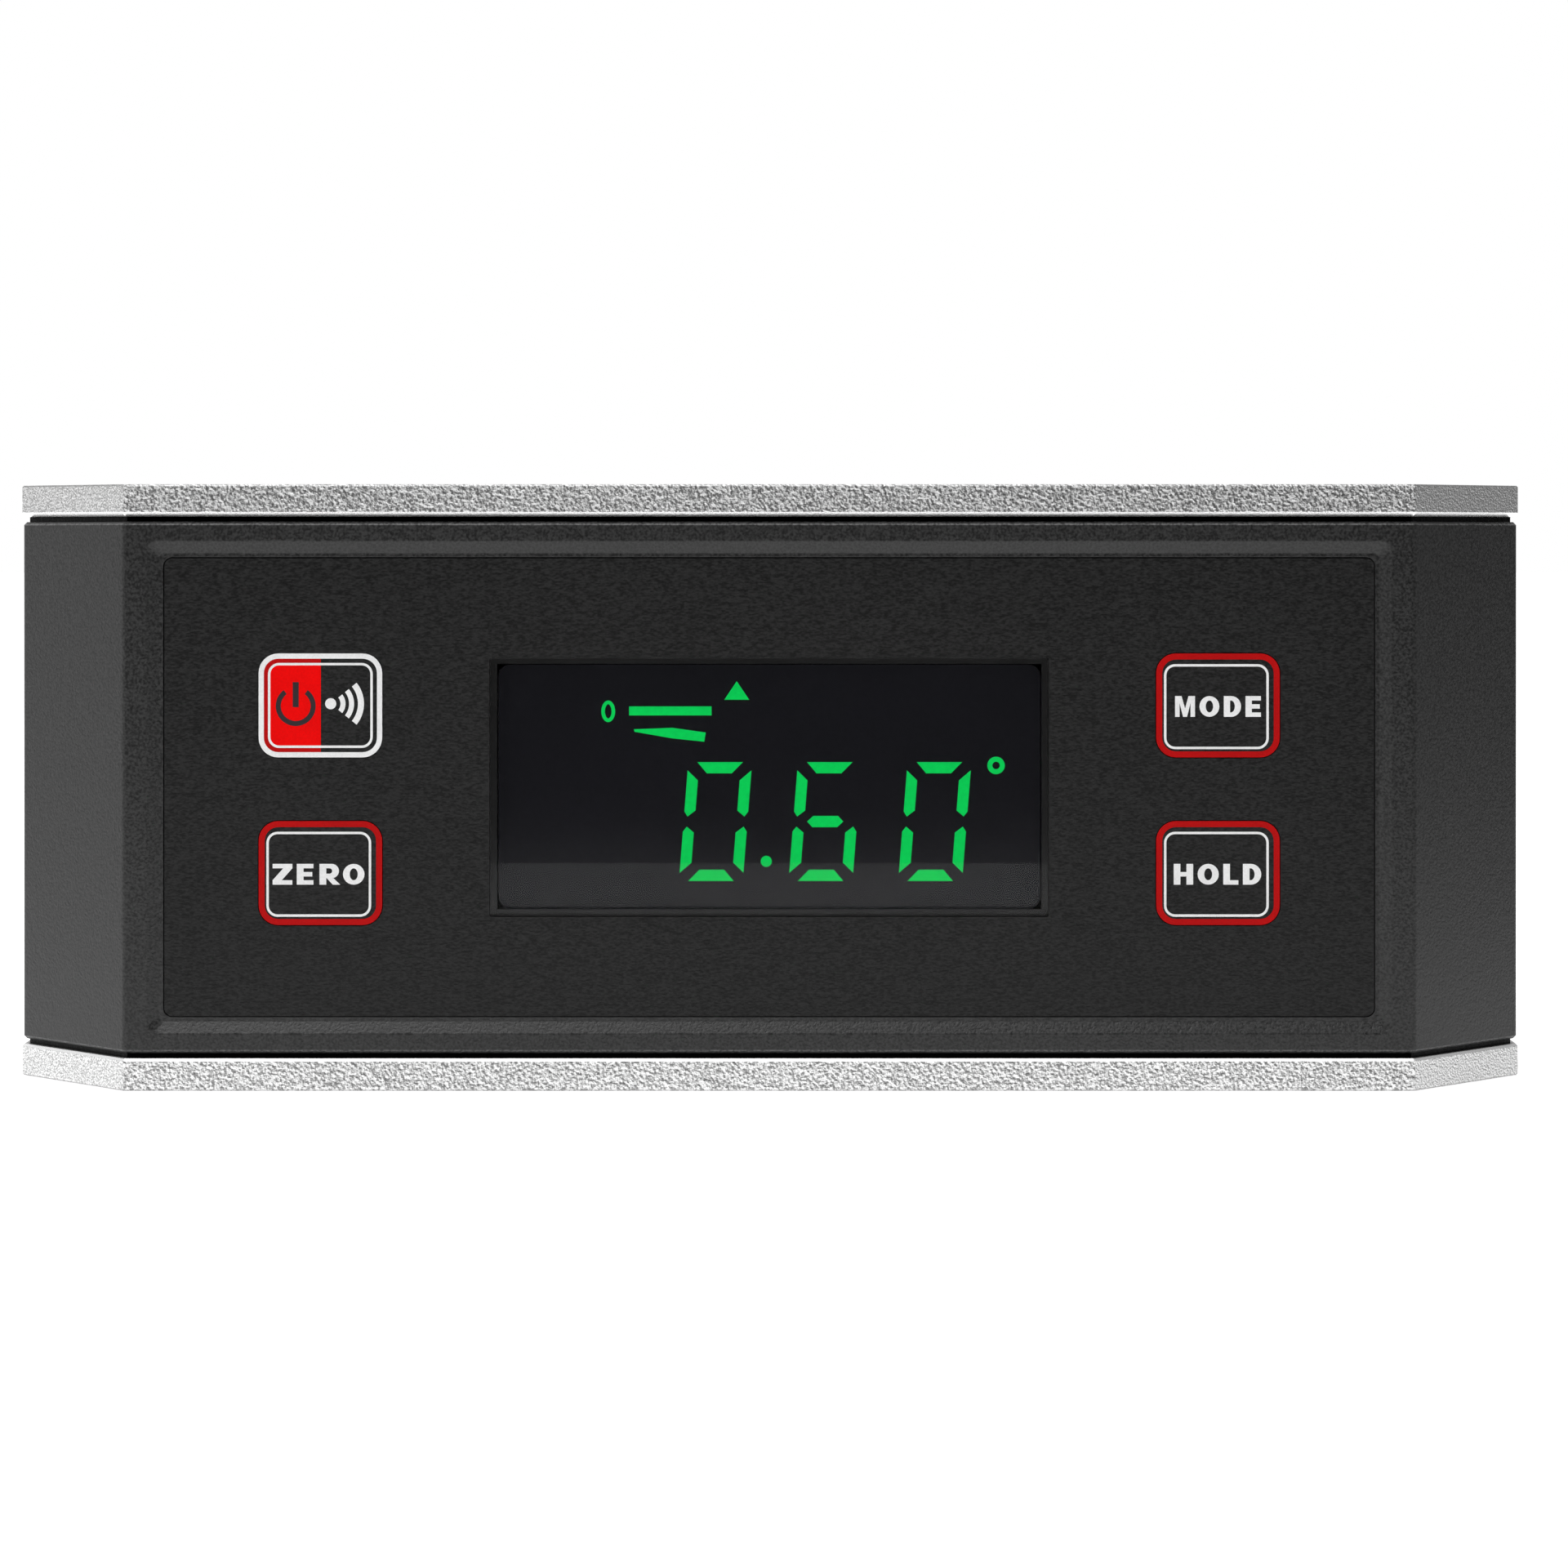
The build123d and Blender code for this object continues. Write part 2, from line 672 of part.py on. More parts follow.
with BuildPart() as buzzer:
    with BuildSketch(front_plane(board_back)):
        with Locations((buzzer_x, buzzer_z)):
            Circle(buzzer_diameter / 2)
    extrude(amount=-buzzer_height)
    with BuildSketch(front_plane(board_back + buzzer_height)):
        with Locations((buzzer_x, buzzer_z)):
            Circle(buzzer_hole_diameter / 2)
    extrude(amount=buzzer_hole_depth, mode=Mode.SUBTRACT)
save(buzzer.part, "buzzer")

# Clock crystal: oval can
with BuildPart() as clock_crystal:
    with BuildSketch(front_plane(board_back)):
        with Locations((crystal_x, crystal_z)):
            SlotOverall(crystal_length, crystal_width)
    extrude(amount=-crystal_height)
save(clock_crystal.part, "clock_crystal")

# Keys: cored cap with a flange behind the panel and a post that meets the stem of its switch
for name, point in key_points.items():
    with BuildPart() as key_cap:
        with BuildSketch(front_plane(panel_back)):
            with Locations(point):
                RectangleRounded(key_length, key_height, key_radius)
        extrude(amount=panel_back - label_front)
        with BuildSketch(front_plane(panel_back)):
            with Locations(point):
                Rectangle(key_length + 2 * key_flange, key_height + 2 * key_flange)
        extrude(amount=-key_flange_thickness)
        with BuildSketch(front_plane(label_front + key_top)):
            with Locations(point):
                Rectangle(key_length - 2 * key_side_wall, key_height - 2 * key_side_wall)
        extrude(amount=label_front + key_top - panel_back - key_flange_thickness, mode=Mode.SUBTRACT)
        with BuildSketch(front_plane(stem_front)):
            with Locations(point):
                Rectangle(key_post_size, key_post_size)
        extrude(amount=stem_front - label_front - key_top)
    save(key_cap.part, name + "_key_cap")

    with BuildPart() as switch_stem:
        with BuildSketch(front_plane(stem_front)):
            with Locations(point):
                Rectangle(stem_size, stem_size)
        extrude(amount=-stem_projection - switch_cover)
        with BuildSketch(front_plane(switch_front + switch_cover)):
            with Locations(point):
                Rectangle(stem_collar_size, stem_collar_size)
        extrude(amount=-stem_collar_thickness)
    save(switch_stem.part, name + "_switch_stem")

    with BuildPart() as switch:
        with BuildSketch(front_plane(board_front)):
            with Locations(point):
                Rectangle(switch_size, switch_size)
        extrude(amount=switch_height)
        with BuildSketch(front_plane(board_front)):
            with Locations(point):
                with GridLocations(switch_size + switch_leg_length, switch_leg_spacing, 2, 2):
                    Rectangle(switch_leg_length, switch_leg_width)
        extrude(amount=switch_leg_thickness)
        with BuildSketch(front_plane(switch_front)):
            with Locations(point):
                Rectangle(stem_size + 2 * stem_clearance, stem_size + 2 * stem_clearance)
        extrude(amount=-switch_cover, mode=Mode.SUBTRACT)
        with BuildSketch(front_plane(switch_front + switch_cover)):
            with Locations(point):
                Rectangle(stem_collar_size + 2 * stem_clearance, stem_collar_size + 2 * stem_clearance)
        extrude(amount=-stem_collar_thickness - key_travel - stem_well_spare, mode=Mode.SUBTRACT)
    save(switch.part, name + "_switch")


def battery(negative_x, axis_z, direction):
    """Round battery whose flat negative end stands at the given X and whose nub points along direction."""
    lengthways = Plane(origin=(negative_x, battery_y, axis_z), x_dir=(direction, 0, 0), z_dir=(0, -1, 0))
    radius = battery_diameter / 2
    shoulder = battery_length - battery_nub_length
    with BuildPart() as cell:
        with BuildSketch(lengthways):
            with BuildLine():
                Polyline((0, 0), (0, radius - battery_rim), (battery_rim, radius),
                         (shoulder - battery_rim, radius), (shoulder, radius - battery_rim),
                         (shoulder, battery_nub_diameter / 2), (battery_length, battery_nub_diameter / 2),
                         (battery_length, 0), close=True)
            make_face()
        revolve(axis=Axis((0, battery_y, axis_z), (1, 0, 0)))
    return cell.part


upper_negative_x = bay_left + contact_thickness + spring_length
lower_negative_x = bay_right - contact_thickness - spring_length
save(battery(upper_negative_x, upper_battery_z, 1), "upper_battery")
save(battery(lower_negative_x, lower_battery_z, -1), "lower_battery")


def leaf_spring(base_x, axis_z, direction):
    """Bent leaf that rises from a contact plate at base_x and presses flat on the end of a battery."""
    sideways = Plane(origin=(base_x, battery_y, axis_z), x_dir=(direction, 0, 0), z_dir=(0, 0, direction))
    crest_x = spring_length - leaf_thickness / 2
    with BuildPart() as leaf:
        with BuildSketch(sideways):
            with BuildLine():
                FilletPolyline((-contact_thickness / 2, leaf_root), (crest_x, leaf_crest),
                               (crest_x, -leaf_crest), (leaf_tip_gap, -leaf_root), radius=leaf_bend_radius)
            trace(line_width=leaf_thickness)
        extrude(amount=leaf_width / 2, both=True)
    return leaf.part


def board_contact_sketch(axis_z):
    """Round-bottomed contact plate with a tab that reaches the board, drawn as (Y, Z)."""
    top_y = rear_wall_inner - contact_top_gap
    with BuildSketch(Plane.YZ.offset(bay_left)) as outline:
        with Locations((battery_y, axis_z)):
            Circle(contact_radius)
        with Locations(((battery_y + top_y) / 2, axis_z)):
            Rectangle(top_y - battery_y, 2 * contact_radius)
        with Locations(((board_back + battery_y) / 2, axis_z)):
            Rectangle(battery_y - board_back, tab_width)
    return outline.sketch


# Contacts at the left end: leaf spring for the upper battery, plain plate for the lower one
with BuildPart() as battery_negative_contact:
    extrude(board_contact_sketch(upper_battery_z), amount=contact_thickness)
    add(leaf_spring(bay_left + contact_thickness, upper_battery_z, 1))
save(battery_negative_contact.part, "battery_negative_contact")

with BuildPart() as battery_positive_contact:
    extrude(board_contact_sketch(lower_battery_z), amount=contact_thickness)
save(battery_positive_contact.part, "battery_positive_contact")

# Bridge contact at the right end, joining both batteries, with the spring of the lower one
with BuildPart() as battery_bridge_contact:
    with BuildSketch(Plane.YZ.offset(bay_right)):
        with Locations((battery_y, upper_battery_z), (battery_y, lower_battery_z)):
            Circle(contact_radius)
        bridge_top = rear_wall_inner - contact_top_gap
        with Locations(((battery_y + bridge_top) / 2, centre_z)):
            Rectangle(bridge_top - battery_y, battery_pitch + 2 * contact_radius)
    extrude(amount=-contact_thickness)
    add(leaf_spring(bay_right - contact_thickness, lower_battery_z, -1))
save(battery_bridge_contact.part, "battery_bridge_contact")


def countersunk_screw():
    """Countersunk screw, head down, with the flat of its head at the origin and a hexagon socket."""
    cone_end = plate_screw_rim + plate_screw_head_radius - plate_screw_radius
    with BuildPart() as screw:
        with BuildSketch(Plane.XZ):
            with BuildLine():
                Polyline((0, 0), (plate_screw_head_radius, 0), (plate_screw_head_radius, plate_screw_rim),
                         (plate_screw_radius, cone_end), (plate_screw_radius, plate_screw_length),
                         (0, plate_screw_length), close=True)
            make_face()
        revolve(axis=Axis.Z)
        with BuildSketch():
            RegularPolygon(plate_screw_socket / 2, 6, major_radius=False)
        extrude(amount=plate_screw_socket_depth, mode=Mode.SUBTRACT)
    return screw.part


# Plate screws, a pair at each plate
plate_screw = countersunk_screw()
with BuildPart() as base_plate_screws:
    with Locations(*[(x, y, plate_screw_sink) for x, y in plate_screw_points]):
        add(plate_screw)
save(base_plate_screws.part, "base_plate_screws")

with BuildPart() as top_plate_screws:
    mirror(base_plate_screws.part, about=Plane.XY.offset(centre_z))
save(top_plate_screws.part, "top_plate_screws")


def pan_screws(seat_y, points, head_radius, head_height, radius, length):
    """Pan-head screws driven forward from the rear at the given places, with cross recesses."""
    with BuildPart() as screws:
        with BuildSketch(front_plane(seat_y)):
            with Locations(*points):
                Circle(head_radius)
        extrude(amount=-head_height)
        with BuildSketch(front_plane(seat_y)):
            with Locations(*points):
                Circle(radius)
        extrude(amount=length)
        with BuildSketch(front_plane(seat_y + head_height)):
            with Locations(*points):
                Rectangle(cross_span, cross_width)
                Rectangle(cross_width, cross_span)
        extrude(amount=cross_depth, mode=Mode.SUBTRACT)
    return screws.part


save(pan_screws(case_head_seat, case_screw_points, case_screw_head_radius, case_screw_head_height,
                case_screw_radius, case_screw_length), "case_screws")
save(pan_screws(board_back, board_screw_points, board_screw_head_radius, board_screw_head_height,
                board_screw_radius, board_screw_length), "board_screws")
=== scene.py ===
"""Finishes, printed marks, lit figures, studio and camera for the digital spirit level.

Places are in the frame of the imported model: X runs along the level, the display faces -Y and the
measuring face of the base plate lies on Z = 0. Sizes on the level are written in millimetres and
used in metres. Those of the studio and the camera are written in metres.
"""

import logging
import math
from collections.abc import Callable, Iterator, Sequence
from contextlib import contextmanager
from dataclasses import dataclass, field, replace
from enum import Enum

import bpy
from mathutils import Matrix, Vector


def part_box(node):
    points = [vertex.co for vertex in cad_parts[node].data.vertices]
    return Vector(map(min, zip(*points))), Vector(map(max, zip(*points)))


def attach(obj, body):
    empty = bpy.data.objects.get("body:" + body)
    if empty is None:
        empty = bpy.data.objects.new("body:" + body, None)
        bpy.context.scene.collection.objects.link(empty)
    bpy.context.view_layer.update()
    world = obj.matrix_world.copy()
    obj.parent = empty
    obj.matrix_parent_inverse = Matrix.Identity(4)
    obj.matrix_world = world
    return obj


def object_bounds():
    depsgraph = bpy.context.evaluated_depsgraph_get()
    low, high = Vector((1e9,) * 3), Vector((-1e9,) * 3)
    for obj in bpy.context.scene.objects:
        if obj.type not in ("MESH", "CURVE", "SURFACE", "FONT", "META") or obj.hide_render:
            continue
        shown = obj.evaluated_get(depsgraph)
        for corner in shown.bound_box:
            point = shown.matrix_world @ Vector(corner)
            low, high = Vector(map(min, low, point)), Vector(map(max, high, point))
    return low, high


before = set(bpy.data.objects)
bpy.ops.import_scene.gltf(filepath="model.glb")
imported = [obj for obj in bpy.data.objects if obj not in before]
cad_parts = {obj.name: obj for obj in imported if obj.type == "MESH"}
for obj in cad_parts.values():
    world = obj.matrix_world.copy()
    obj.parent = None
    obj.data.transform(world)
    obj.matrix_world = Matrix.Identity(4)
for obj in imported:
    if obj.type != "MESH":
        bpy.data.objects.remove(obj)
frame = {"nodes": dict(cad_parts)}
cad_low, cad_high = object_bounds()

Colour = tuple[float, float, float]
Place = tuple[float, float, float]
Point = tuple[float, float]
Edges = tuple[float, float, float, float]
Node = bpy.types.Node
Piece = bpy.types.Object
Socket = bpy.types.NodeSocket
Tree = bpy.types.NodeTree

MM = 0.001
WHITE: Colour = (1.0, 1.0, 1.0)
NOISE_SPAN: Point = (0.3, 0.7)
LOG = logging.getLogger("spirit_level")


def screen(red: float, green: float, blue: float) -> Colour:
    """Turn a screen colour, with parts of 255, into a linear one by the sRGB formula."""
    shares = [part / 255 for part in (red, green, blue)]
    return tuple(s / 12.92 if s <= 0.04045 else ((s + 0.055) / 1.055) ** 2.4 for s in shares)


def grey(value: float) -> Colour:
    """Linear grey of one screen value."""
    return screen(value, value, value)


def emptied(owner: bpy.types.ID) -> Tree:
    """Empty the node tree of a material or of the world.

    Args:
        owner: the material or the world.

    Returns:
        Its tree.
    """
    owner.use_nodes = True
    owner.node_tree.nodes.clear()
    return owner.node_tree


@dataclass
class NodeBench:
    """Adds and joins the nodes of one tree."""

    tree: Tree

    def node(self, kind: str, **settings: object) -> Node:
        """Add a shader node.

        Args:
            kind: the node's type, without its common prefix.
            settings: properties of the node.

        Returns:
            The new node.
        """
        made = self.tree.nodes.new("ShaderNode" + kind)
        for name, value in settings.items():
            setattr(made, name, value)
        return made

    def feed(self, socket: Socket, value: object) -> None:
        """Link an input to an output, or set the input's own value.

        Args:
            socket: the input.
            value: an output socket, a number, or a colour of three parts.
        """
        if isinstance(value, Socket):
            self.tree.links.new(value, socket)
        elif socket.type == "RGBA":
            socket.default_value = (*value, 1.0)
        else:
            socket.default_value = value

    def math(self, operation: str, *values: object) -> Socket:
        """Add a Math node.

        Args:
            operation: the node's operation.
            values: its inputs, as sockets or numbers.

        Returns:
            The result.
        """
        made = self.node("Math", operation=operation)
        for socket, value in zip(made.inputs, values):
            self.feed(socket, value)
        return made.outputs[0]

    def times(self, first: object, second: object) -> Socket:
        """Product of two values."""
        return self.math("MULTIPLY", first, second)

    def minus(self, first: object, second: object) -> Socket:
        """First value less the second one."""
        return self.math("SUBTRACT", first, second)

    def over(self, value: object, limit: object) -> Socket:
        """Mask that is 1 where a value is above a limit."""
        return self.math("GREATER_THAN", value, limit)

    def under(self, value: object, limit: object) -> Socket:
        """Mask that is 1 where a value is below a limit."""
        return self.math("LESS_THAN", value, limit)

    def size(self, value: object) -> Socket:
        """A value without its sign."""
        return self.math("ABSOLUTE", value)

    def ramp(self, value: object, span: Point, result: tuple[object, object] = (0.0, 1.0)) -> Socket:
        """Map a value from one span to another and clamp it.

        Args:
            value: the value.
            span: the lowest and highest value that matter.
            result: what those two become.

        Returns:
            The mapped value.
        """
        made = self.node("MapRange", clamp=True)
        names = ("Value", "From Min", "From Max", "To Min", "To Max")
        for name, item in zip(names, (value, *span, *result)):
            self.feed(made.inputs[name], item)
        return made.outputs["Result"]

    def between(self, mask: object, low: object, high: object) -> Socket:
        """Value that goes from low to high as a mask goes from 0 to 1."""
        return self.ramp(mask, (0.0, 1.0), (low, high))

    def mix(self, share: object, first: object, second: object, blend: str = "MIX") -> Socket:
        """Blend two colours.

        Args:
            share: how much of the second there is.
            first: the first colour.
            second: the second colour.
            blend: the way they blend.

        Returns:
            The blended colour.
        """
        made = self.node("Mix", data_type="RGBA", blend_type=blend)
        for index, item in zip((0, 6, 7), (share, first, second)):
            self.feed(made.inputs[index], item)
        return made.outputs[2]

    def noise(self, vector: object, size: object) -> Socket:
        """Noise of about 0.5 on average, with patches of the given size in metres.

        Args:
            vector: where it is read.
            size: size of its patches.

        Returns:
            The noise.
        """
        made = self.node("TexNoise")
        self.feed(made.inputs["Vector"], vector)
        self.feed(made.inputs["Scale"], self.math("DIVIDE", 1.0, size))
        return made.outputs["Fac"]

    def axes(self, vector: object) -> list[Socket]:
        """X, Y and Z of a vector.

        Args:
            vector: the vector.

        Returns:
            Its three parts.
        """
        made = self.node("SeparateXYZ")
        self.feed(made.inputs[0], vector)
        return list(made.outputs)

    def end(self, kind: str, shader: Node) -> None:
        """Join a shader to an output node of the given kind."""
        self.feed(self.node("Output" + kind).inputs["Surface"], shader.outputs[0])


@dataclass
class MaterialBench(NodeBench):
    """Bench of one material, with its object coordinates and its Principled shader."""

    place: Socket = field(init=False)
    shader: Node = field(init=False)

    def __post_init__(self) -> None:
        """Add the coordinates and the shader."""
        self.place = self.node("TexCoord").outputs["Object"]
        self.shader = self.node("BsdfPrincipled")

    def give(self, **values: object) -> None:
        """Set or link inputs of the shader.

        Args:
            values: numbers, colours or sockets by the input's name, with spaces as underscores.
        """
        for name, value in values.items():
            self.feed(self.shader.inputs[name.replace("_", " ")], value)


class Effect(Enum):
    """Surface effects that several finishes share."""

    GRAIN = "surface_grain"
    DRIFT = "tone_drift"
    EDGE = "soft_edge"


@dataclass
class EffectShelf:
    """Shader node groups for the shared effects, each built once."""

    wave_size: float = 3.3
    wave_share: float = 0.35
    lit_step: float = 0.2
    lit_slope: float = 0.1
    spot_span: Point = (0.36, 0.64)
    edge_span: Point = (0.97, 0.8)
    edge_samples: int = 4
    groups: dict[Effect, Tree] = field(default_factory=dict)

    def use(self, bench: NodeBench, effect: Effect, **values: object) -> Node:
        """Place an effect in a material.

        Args:
            bench: the material's bench.
            effect: which effect.
            values: its inputs by name.

        Returns:
            The group node.
        """
        if effect not in self.groups:
            makers = {Effect.GRAIN: self.grain, Effect.DRIFT: self.drift, Effect.EDGE: self.edge}
            self.groups[effect] = bpy.data.node_groups.new(effect.value, "ShaderNodeTree")
            makers[effect](self.groups[effect])
        node = bench.node("Group", node_tree=self.groups[effect])
        for name, value in values.items():
            bench.feed(node.inputs[name], value)
        return node

    def sockets(self, group: Tree, inputs: dict[str, str],
                outputs: dict[str, str]) -> tuple[NodeBench, Node, Node]:
        """Give a group its sockets.

        Args:
            group: the node group.
            inputs: kind of each input by name.
            outputs: kind of each output by name.

        Returns:
            The group's bench, its input node and its output node.
        """
        for names, side in ((inputs, "INPUT"), (outputs, "OUTPUT")):
            for name, kind in names.items():
                group.interface.new_socket(name=name, in_out=side, socket_type="NodeSocket" + kind)
        return NodeBench(group), group.nodes.new("NodeGroupInput"), group.nodes.new("NodeGroupOutput")

    def grain(self, group: Tree) -> None:
        """Small bumps of one size with larger waves under them, and masks of their tops and lit sides.

        Args:
            group: the empty group.
        """
        bench, given, made = self.sockets(group, {"Vector": "Vector", "Size": "Float"},
                                          {"Height": "Float", "Mask": "Float", "PaintedRelief": "Float"})
        place, size = given.outputs["Vector"], given.outputs["Size"]
        fine = bench.noise(place, size)
        wave = bench.noise(place, bench.times(size, self.wave_size))
        height = bench.math("MULTIPLY_ADD", wave, self.wave_share, bench.times(fine, 1 - self.wave_share))
        bench.feed(made.inputs["Height"], height)
        bench.feed(made.inputs["Mask"], bench.ramp(fine, self.spot_span))
        # painted light and shade: the lit sides of the bumps are found from the noise one step aside, as if
        # light came from that side
        aside = bench.node("VectorMath", operation="MULTIPLY_ADD")
        for socket, value in zip(aside.inputs, ((self.lit_step,) * 3, size, place)):
            bench.feed(socket, value)
        slope = bench.minus(bench.noise(aside.outputs[0], size), fine)
        bench.feed(made.inputs["PaintedRelief"], bench.ramp(slope, (-self.lit_slope, self.lit_slope)))

    def drift(self, group: Tree) -> None:
        """Slow change of tone over a surface.

        Args:
            group: the empty group.
        """
        inputs = {"Vector": "Vector", "Color": "Color", "Patch": "Float", "Amount": "Float"}
        bench, given, made = self.sockets(group, inputs, {"Color": "Color"})
        low = bench.minus(1.0, given.outputs["Amount"])
        high = bench.math("ADD", 1.0, given.outputs["Amount"])
        noise = bench.noise(given.outputs["Vector"], given.outputs["Patch"])
        factor = bench.ramp(noise, NOISE_SPAN, (low, high))
        bench.feed(made.inputs["Color"], bench.mix(1.0, given.outputs["Color"], factor, "MULTIPLY"))

    def edge(self, group: Tree) -> None:
        """Slightly rounded edges and a mask that is high along them.

        Args:
            group: the empty group.
        """
        bench, given, made = self.sockets(group, {"Radius": "Float"}, {"Normal": "Vector", "Mask": "Float"})
        rounded = bench.node("Bevel", samples=self.edge_samples)
        bench.feed(rounded.inputs["Radius"], given.outputs["Radius"])
        turn = bench.node("VectorMath", operation="DOT_PRODUCT")
        bench.feed(turn.inputs[0], rounded.outputs[0])
        bench.feed(turn.inputs[1], bench.node("NewGeometry").outputs["Normal"])
        bench.feed(made.inputs["Normal"], rounded.outputs[0])
        bench.feed(made.inputs["Mask"], bench.ramp(turn.outputs["Value"], self.edge_span))


SHELF = EffectShelf()


@dataclass(frozen=True)
class Finish:
    """One surface finish: its colour and gloss, its grain and how its tone drifts."""

    name: str
    colour: Colour
    roughness: float
    metallic: float = 0.0
    grain_size: float = 0.25
    grain_depth: float = 0.01
    grain_tint: float = 0.0
    patch_size: float = 18.0
    patch_amount: float = 0.06
    gloss_drift: float = 0.06
    edge_radius: float = 0.0
    # share of white painted along the edges as a highlight
    edge_highlight: float = 0.0
    specular: float = 0.5
    stretch: float = 1.0

    def material(self) -> bpy.types.Material:
        """The material of this finish, built when it is first asked for."""
        return bpy.data.materials.get(self.name) or self.build()

    def build(self) -> bpy.types.Material:
        """Build the node tree: tone, grain and rounded edges on a Principled shader, with a painted
        highlight along the edges where the finish asks for one.

        Returns:
            The new material.
        """
        made = bpy.data.materials.new(self.name)
        bench = MaterialBench(emptied(made))
        height, mask = self.surface(bench)
        drift = SHELF.use(bench, Effect.DRIFT, Vector=bench.place, Color=self.base(bench),
                          Patch=self.patch_size * MM, Amount=self.patch_amount)
        tint = bench.between(mask, 1 - self.grain_tint, 1 + self.grain_tint)
        colour = bench.mix(1.0, drift.outputs["Color"], tint, "MULTIPLY")
        bump = bench.node("Bump")
        bench.feed(bump.inputs["Distance"], self.grain_depth * MM)
        bench.feed(bump.inputs["Height"], height)
        if self.edge_radius:
            edge = SHELF.use(bench, Effect.EDGE, Radius=self.edge_radius * MM)
            bench.feed(bump.inputs["Normal"], edge.outputs["Normal"])
            # painted highlight: the colour goes towards white along the edges, by the edge mask times the
            # finish's share
            colour = bench.mix(bench.times(edge.outputs["Mask"], self.edge_highlight), colour, WHITE)
        rough = bench.between(mask, self.roughness - self.gloss_drift, self.roughness + self.gloss_drift)
        bench.give(Base_Color=colour, Normal=bump.outputs["Normal"], Roughness=rough,
                   Specular_IOR_Level=self.specular)
        self.extras(bench)
        bench.end("Material", bench.shader)
        return made

    def base(self, bench: MaterialBench) -> object:
        """Colour before its tone drifts."""
        return self.colour

    def surface(self, bench: MaterialBench) -> tuple[Socket, Socket]:
        """Grain, drawn out along the level where it has a stretch.

        Args:
            bench: the material's bench.

        Returns:
            Its height and its mask.
        """
        drawn = bench.node("Mapping")
        drawn.inputs["Scale"].default_value = (1 / self.stretch, 1, 1)
        bench.feed(drawn.inputs["Vector"], bench.place)
        grain = SHELF.use(bench, Effect.GRAIN, Vector=drawn.outputs[0], Size=self.grain_size * MM)
        return grain.outputs["Height"], grain.outputs["Mask"]

    def extras(self, bench: MaterialBench) -> None:
        """Inputs that only some finishes set."""
        bench.give(Metallic=self.metallic)


@dataclass(frozen=True)
class BlastedMetal(Finish):
    """Blasted aluminium, coarse on its long faces, finer on its cut corners, with a painted highlight on the
    bevels beside the casing and painted shade on the outer bevels.
    """

    fine_size: float = 0.2
    fine_share: float = 0.7
    fine_relief: Point = (0.15, 0.85)
    end_colour: Colour = grey(212)
    # painted highlight on the bevels beside the casing
    bevel_highlight_colour: Colour = (0.97, 0.97, 0.97)
    bevel_roughness: float = 0.22
    bevel_share: float = 0.1
    bevel_relief: Colour = (0.5, 0.5, 0.5)
    # painted shade: share of the colour that the outer bevels keep
    outer_bevel_shade: float = 0.6
    bevel_span: Point = (0.25, 0.9)
    most_across: float = 0.4
    least_along: float = 0.55

    def facing(self, bench: MaterialBench) -> tuple[Socket, Socket, Socket]:
        """Masks of the long faces and of the bevels, from the way the surface faces.

        Args:
            bench: the material's bench.

        Returns:
            Masks of the faces that look forward or back, of the bevels beside the casing and of the
            outer bevels.
        """
        across, along, up = bench.axes(bench.node("TexCoord").outputs["Normal"])
        steep = bench.size(up)
        lowest, highest = self.bevel_span
        bevel = bench.times(bench.over(steep, lowest), bench.under(steep, highest))
        above = bench.minus(bench.axes(bench.place)[2], (cad_low.z + cad_high.z) / 2)
        outward = bench.over(bench.times(above, up), 0.0)
        straight = bench.under(bench.size(across), self.most_across)
        long_face = bench.times(straight, bench.over(bench.size(along), self.least_along))
        return long_face, bench.times(bevel, bench.minus(1.0, outward)), bench.times(bevel, outward)

    def base(self, bench: MaterialBench) -> Socket:
        """Colour with a painted highlight on the bevels beside the casing and painted shade on the outer
        ones.

        Args:
            bench: the material's bench.

        Returns:
            The colour.
        """
        long_face, inner, outer = self.facing(bench)
        darker = tuple(part * self.outer_bevel_shade for part in self.colour)
        flat = bench.mix(long_face, self.end_colour, self.colour)
        return bench.mix(inner, bench.mix(outer, flat, darker), self.bevel_highlight_colour)

    def surface(self, bench: MaterialBench) -> tuple[Socket, Socket]:
        """Grain that is coarse on the long faces, fine on the others and almost none on the bevels.

        Args:
            bench: the material's bench.

        Returns:
            Its height and a mask of the bumps' lit sides, painted light and shade that tints the colour.
        """
        coarse = SHELF.use(bench, Effect.GRAIN, Vector=bench.place, Size=self.grain_size * MM)
        fine = SHELF.use(bench, Effect.GRAIN, Vector=bench.place, Size=self.fine_size * MM)
        long_face, bevel, _ = self.facing(bench)
        small = bench.times(fine.outputs["Height"], self.fine_share)
        height = bench.mix(long_face, small, coarse.outputs["Height"])
        calm = bench.between(fine.outputs["PaintedRelief"], *self.fine_relief)
        mask = bench.mix(long_face, calm, coarse.outputs["PaintedRelief"])
        height = bench.mix(bevel, height, bench.times(small, self.bevel_share))
        return height, bench.mix(bevel, mask, self.bevel_relief)

    def extras(self, bench: MaterialBench) -> None:
        """Make it metal, with smoother bevels.

        Args:
            bench: the material's bench.
        """
        rough = bench.shader.inputs["Roughness"].links[0].from_socket
        smooth = bench.between(self.facing(bench)[1], rough, self.bevel_roughness)
        bench.give(Metallic=self.metallic, Roughness=smooth)


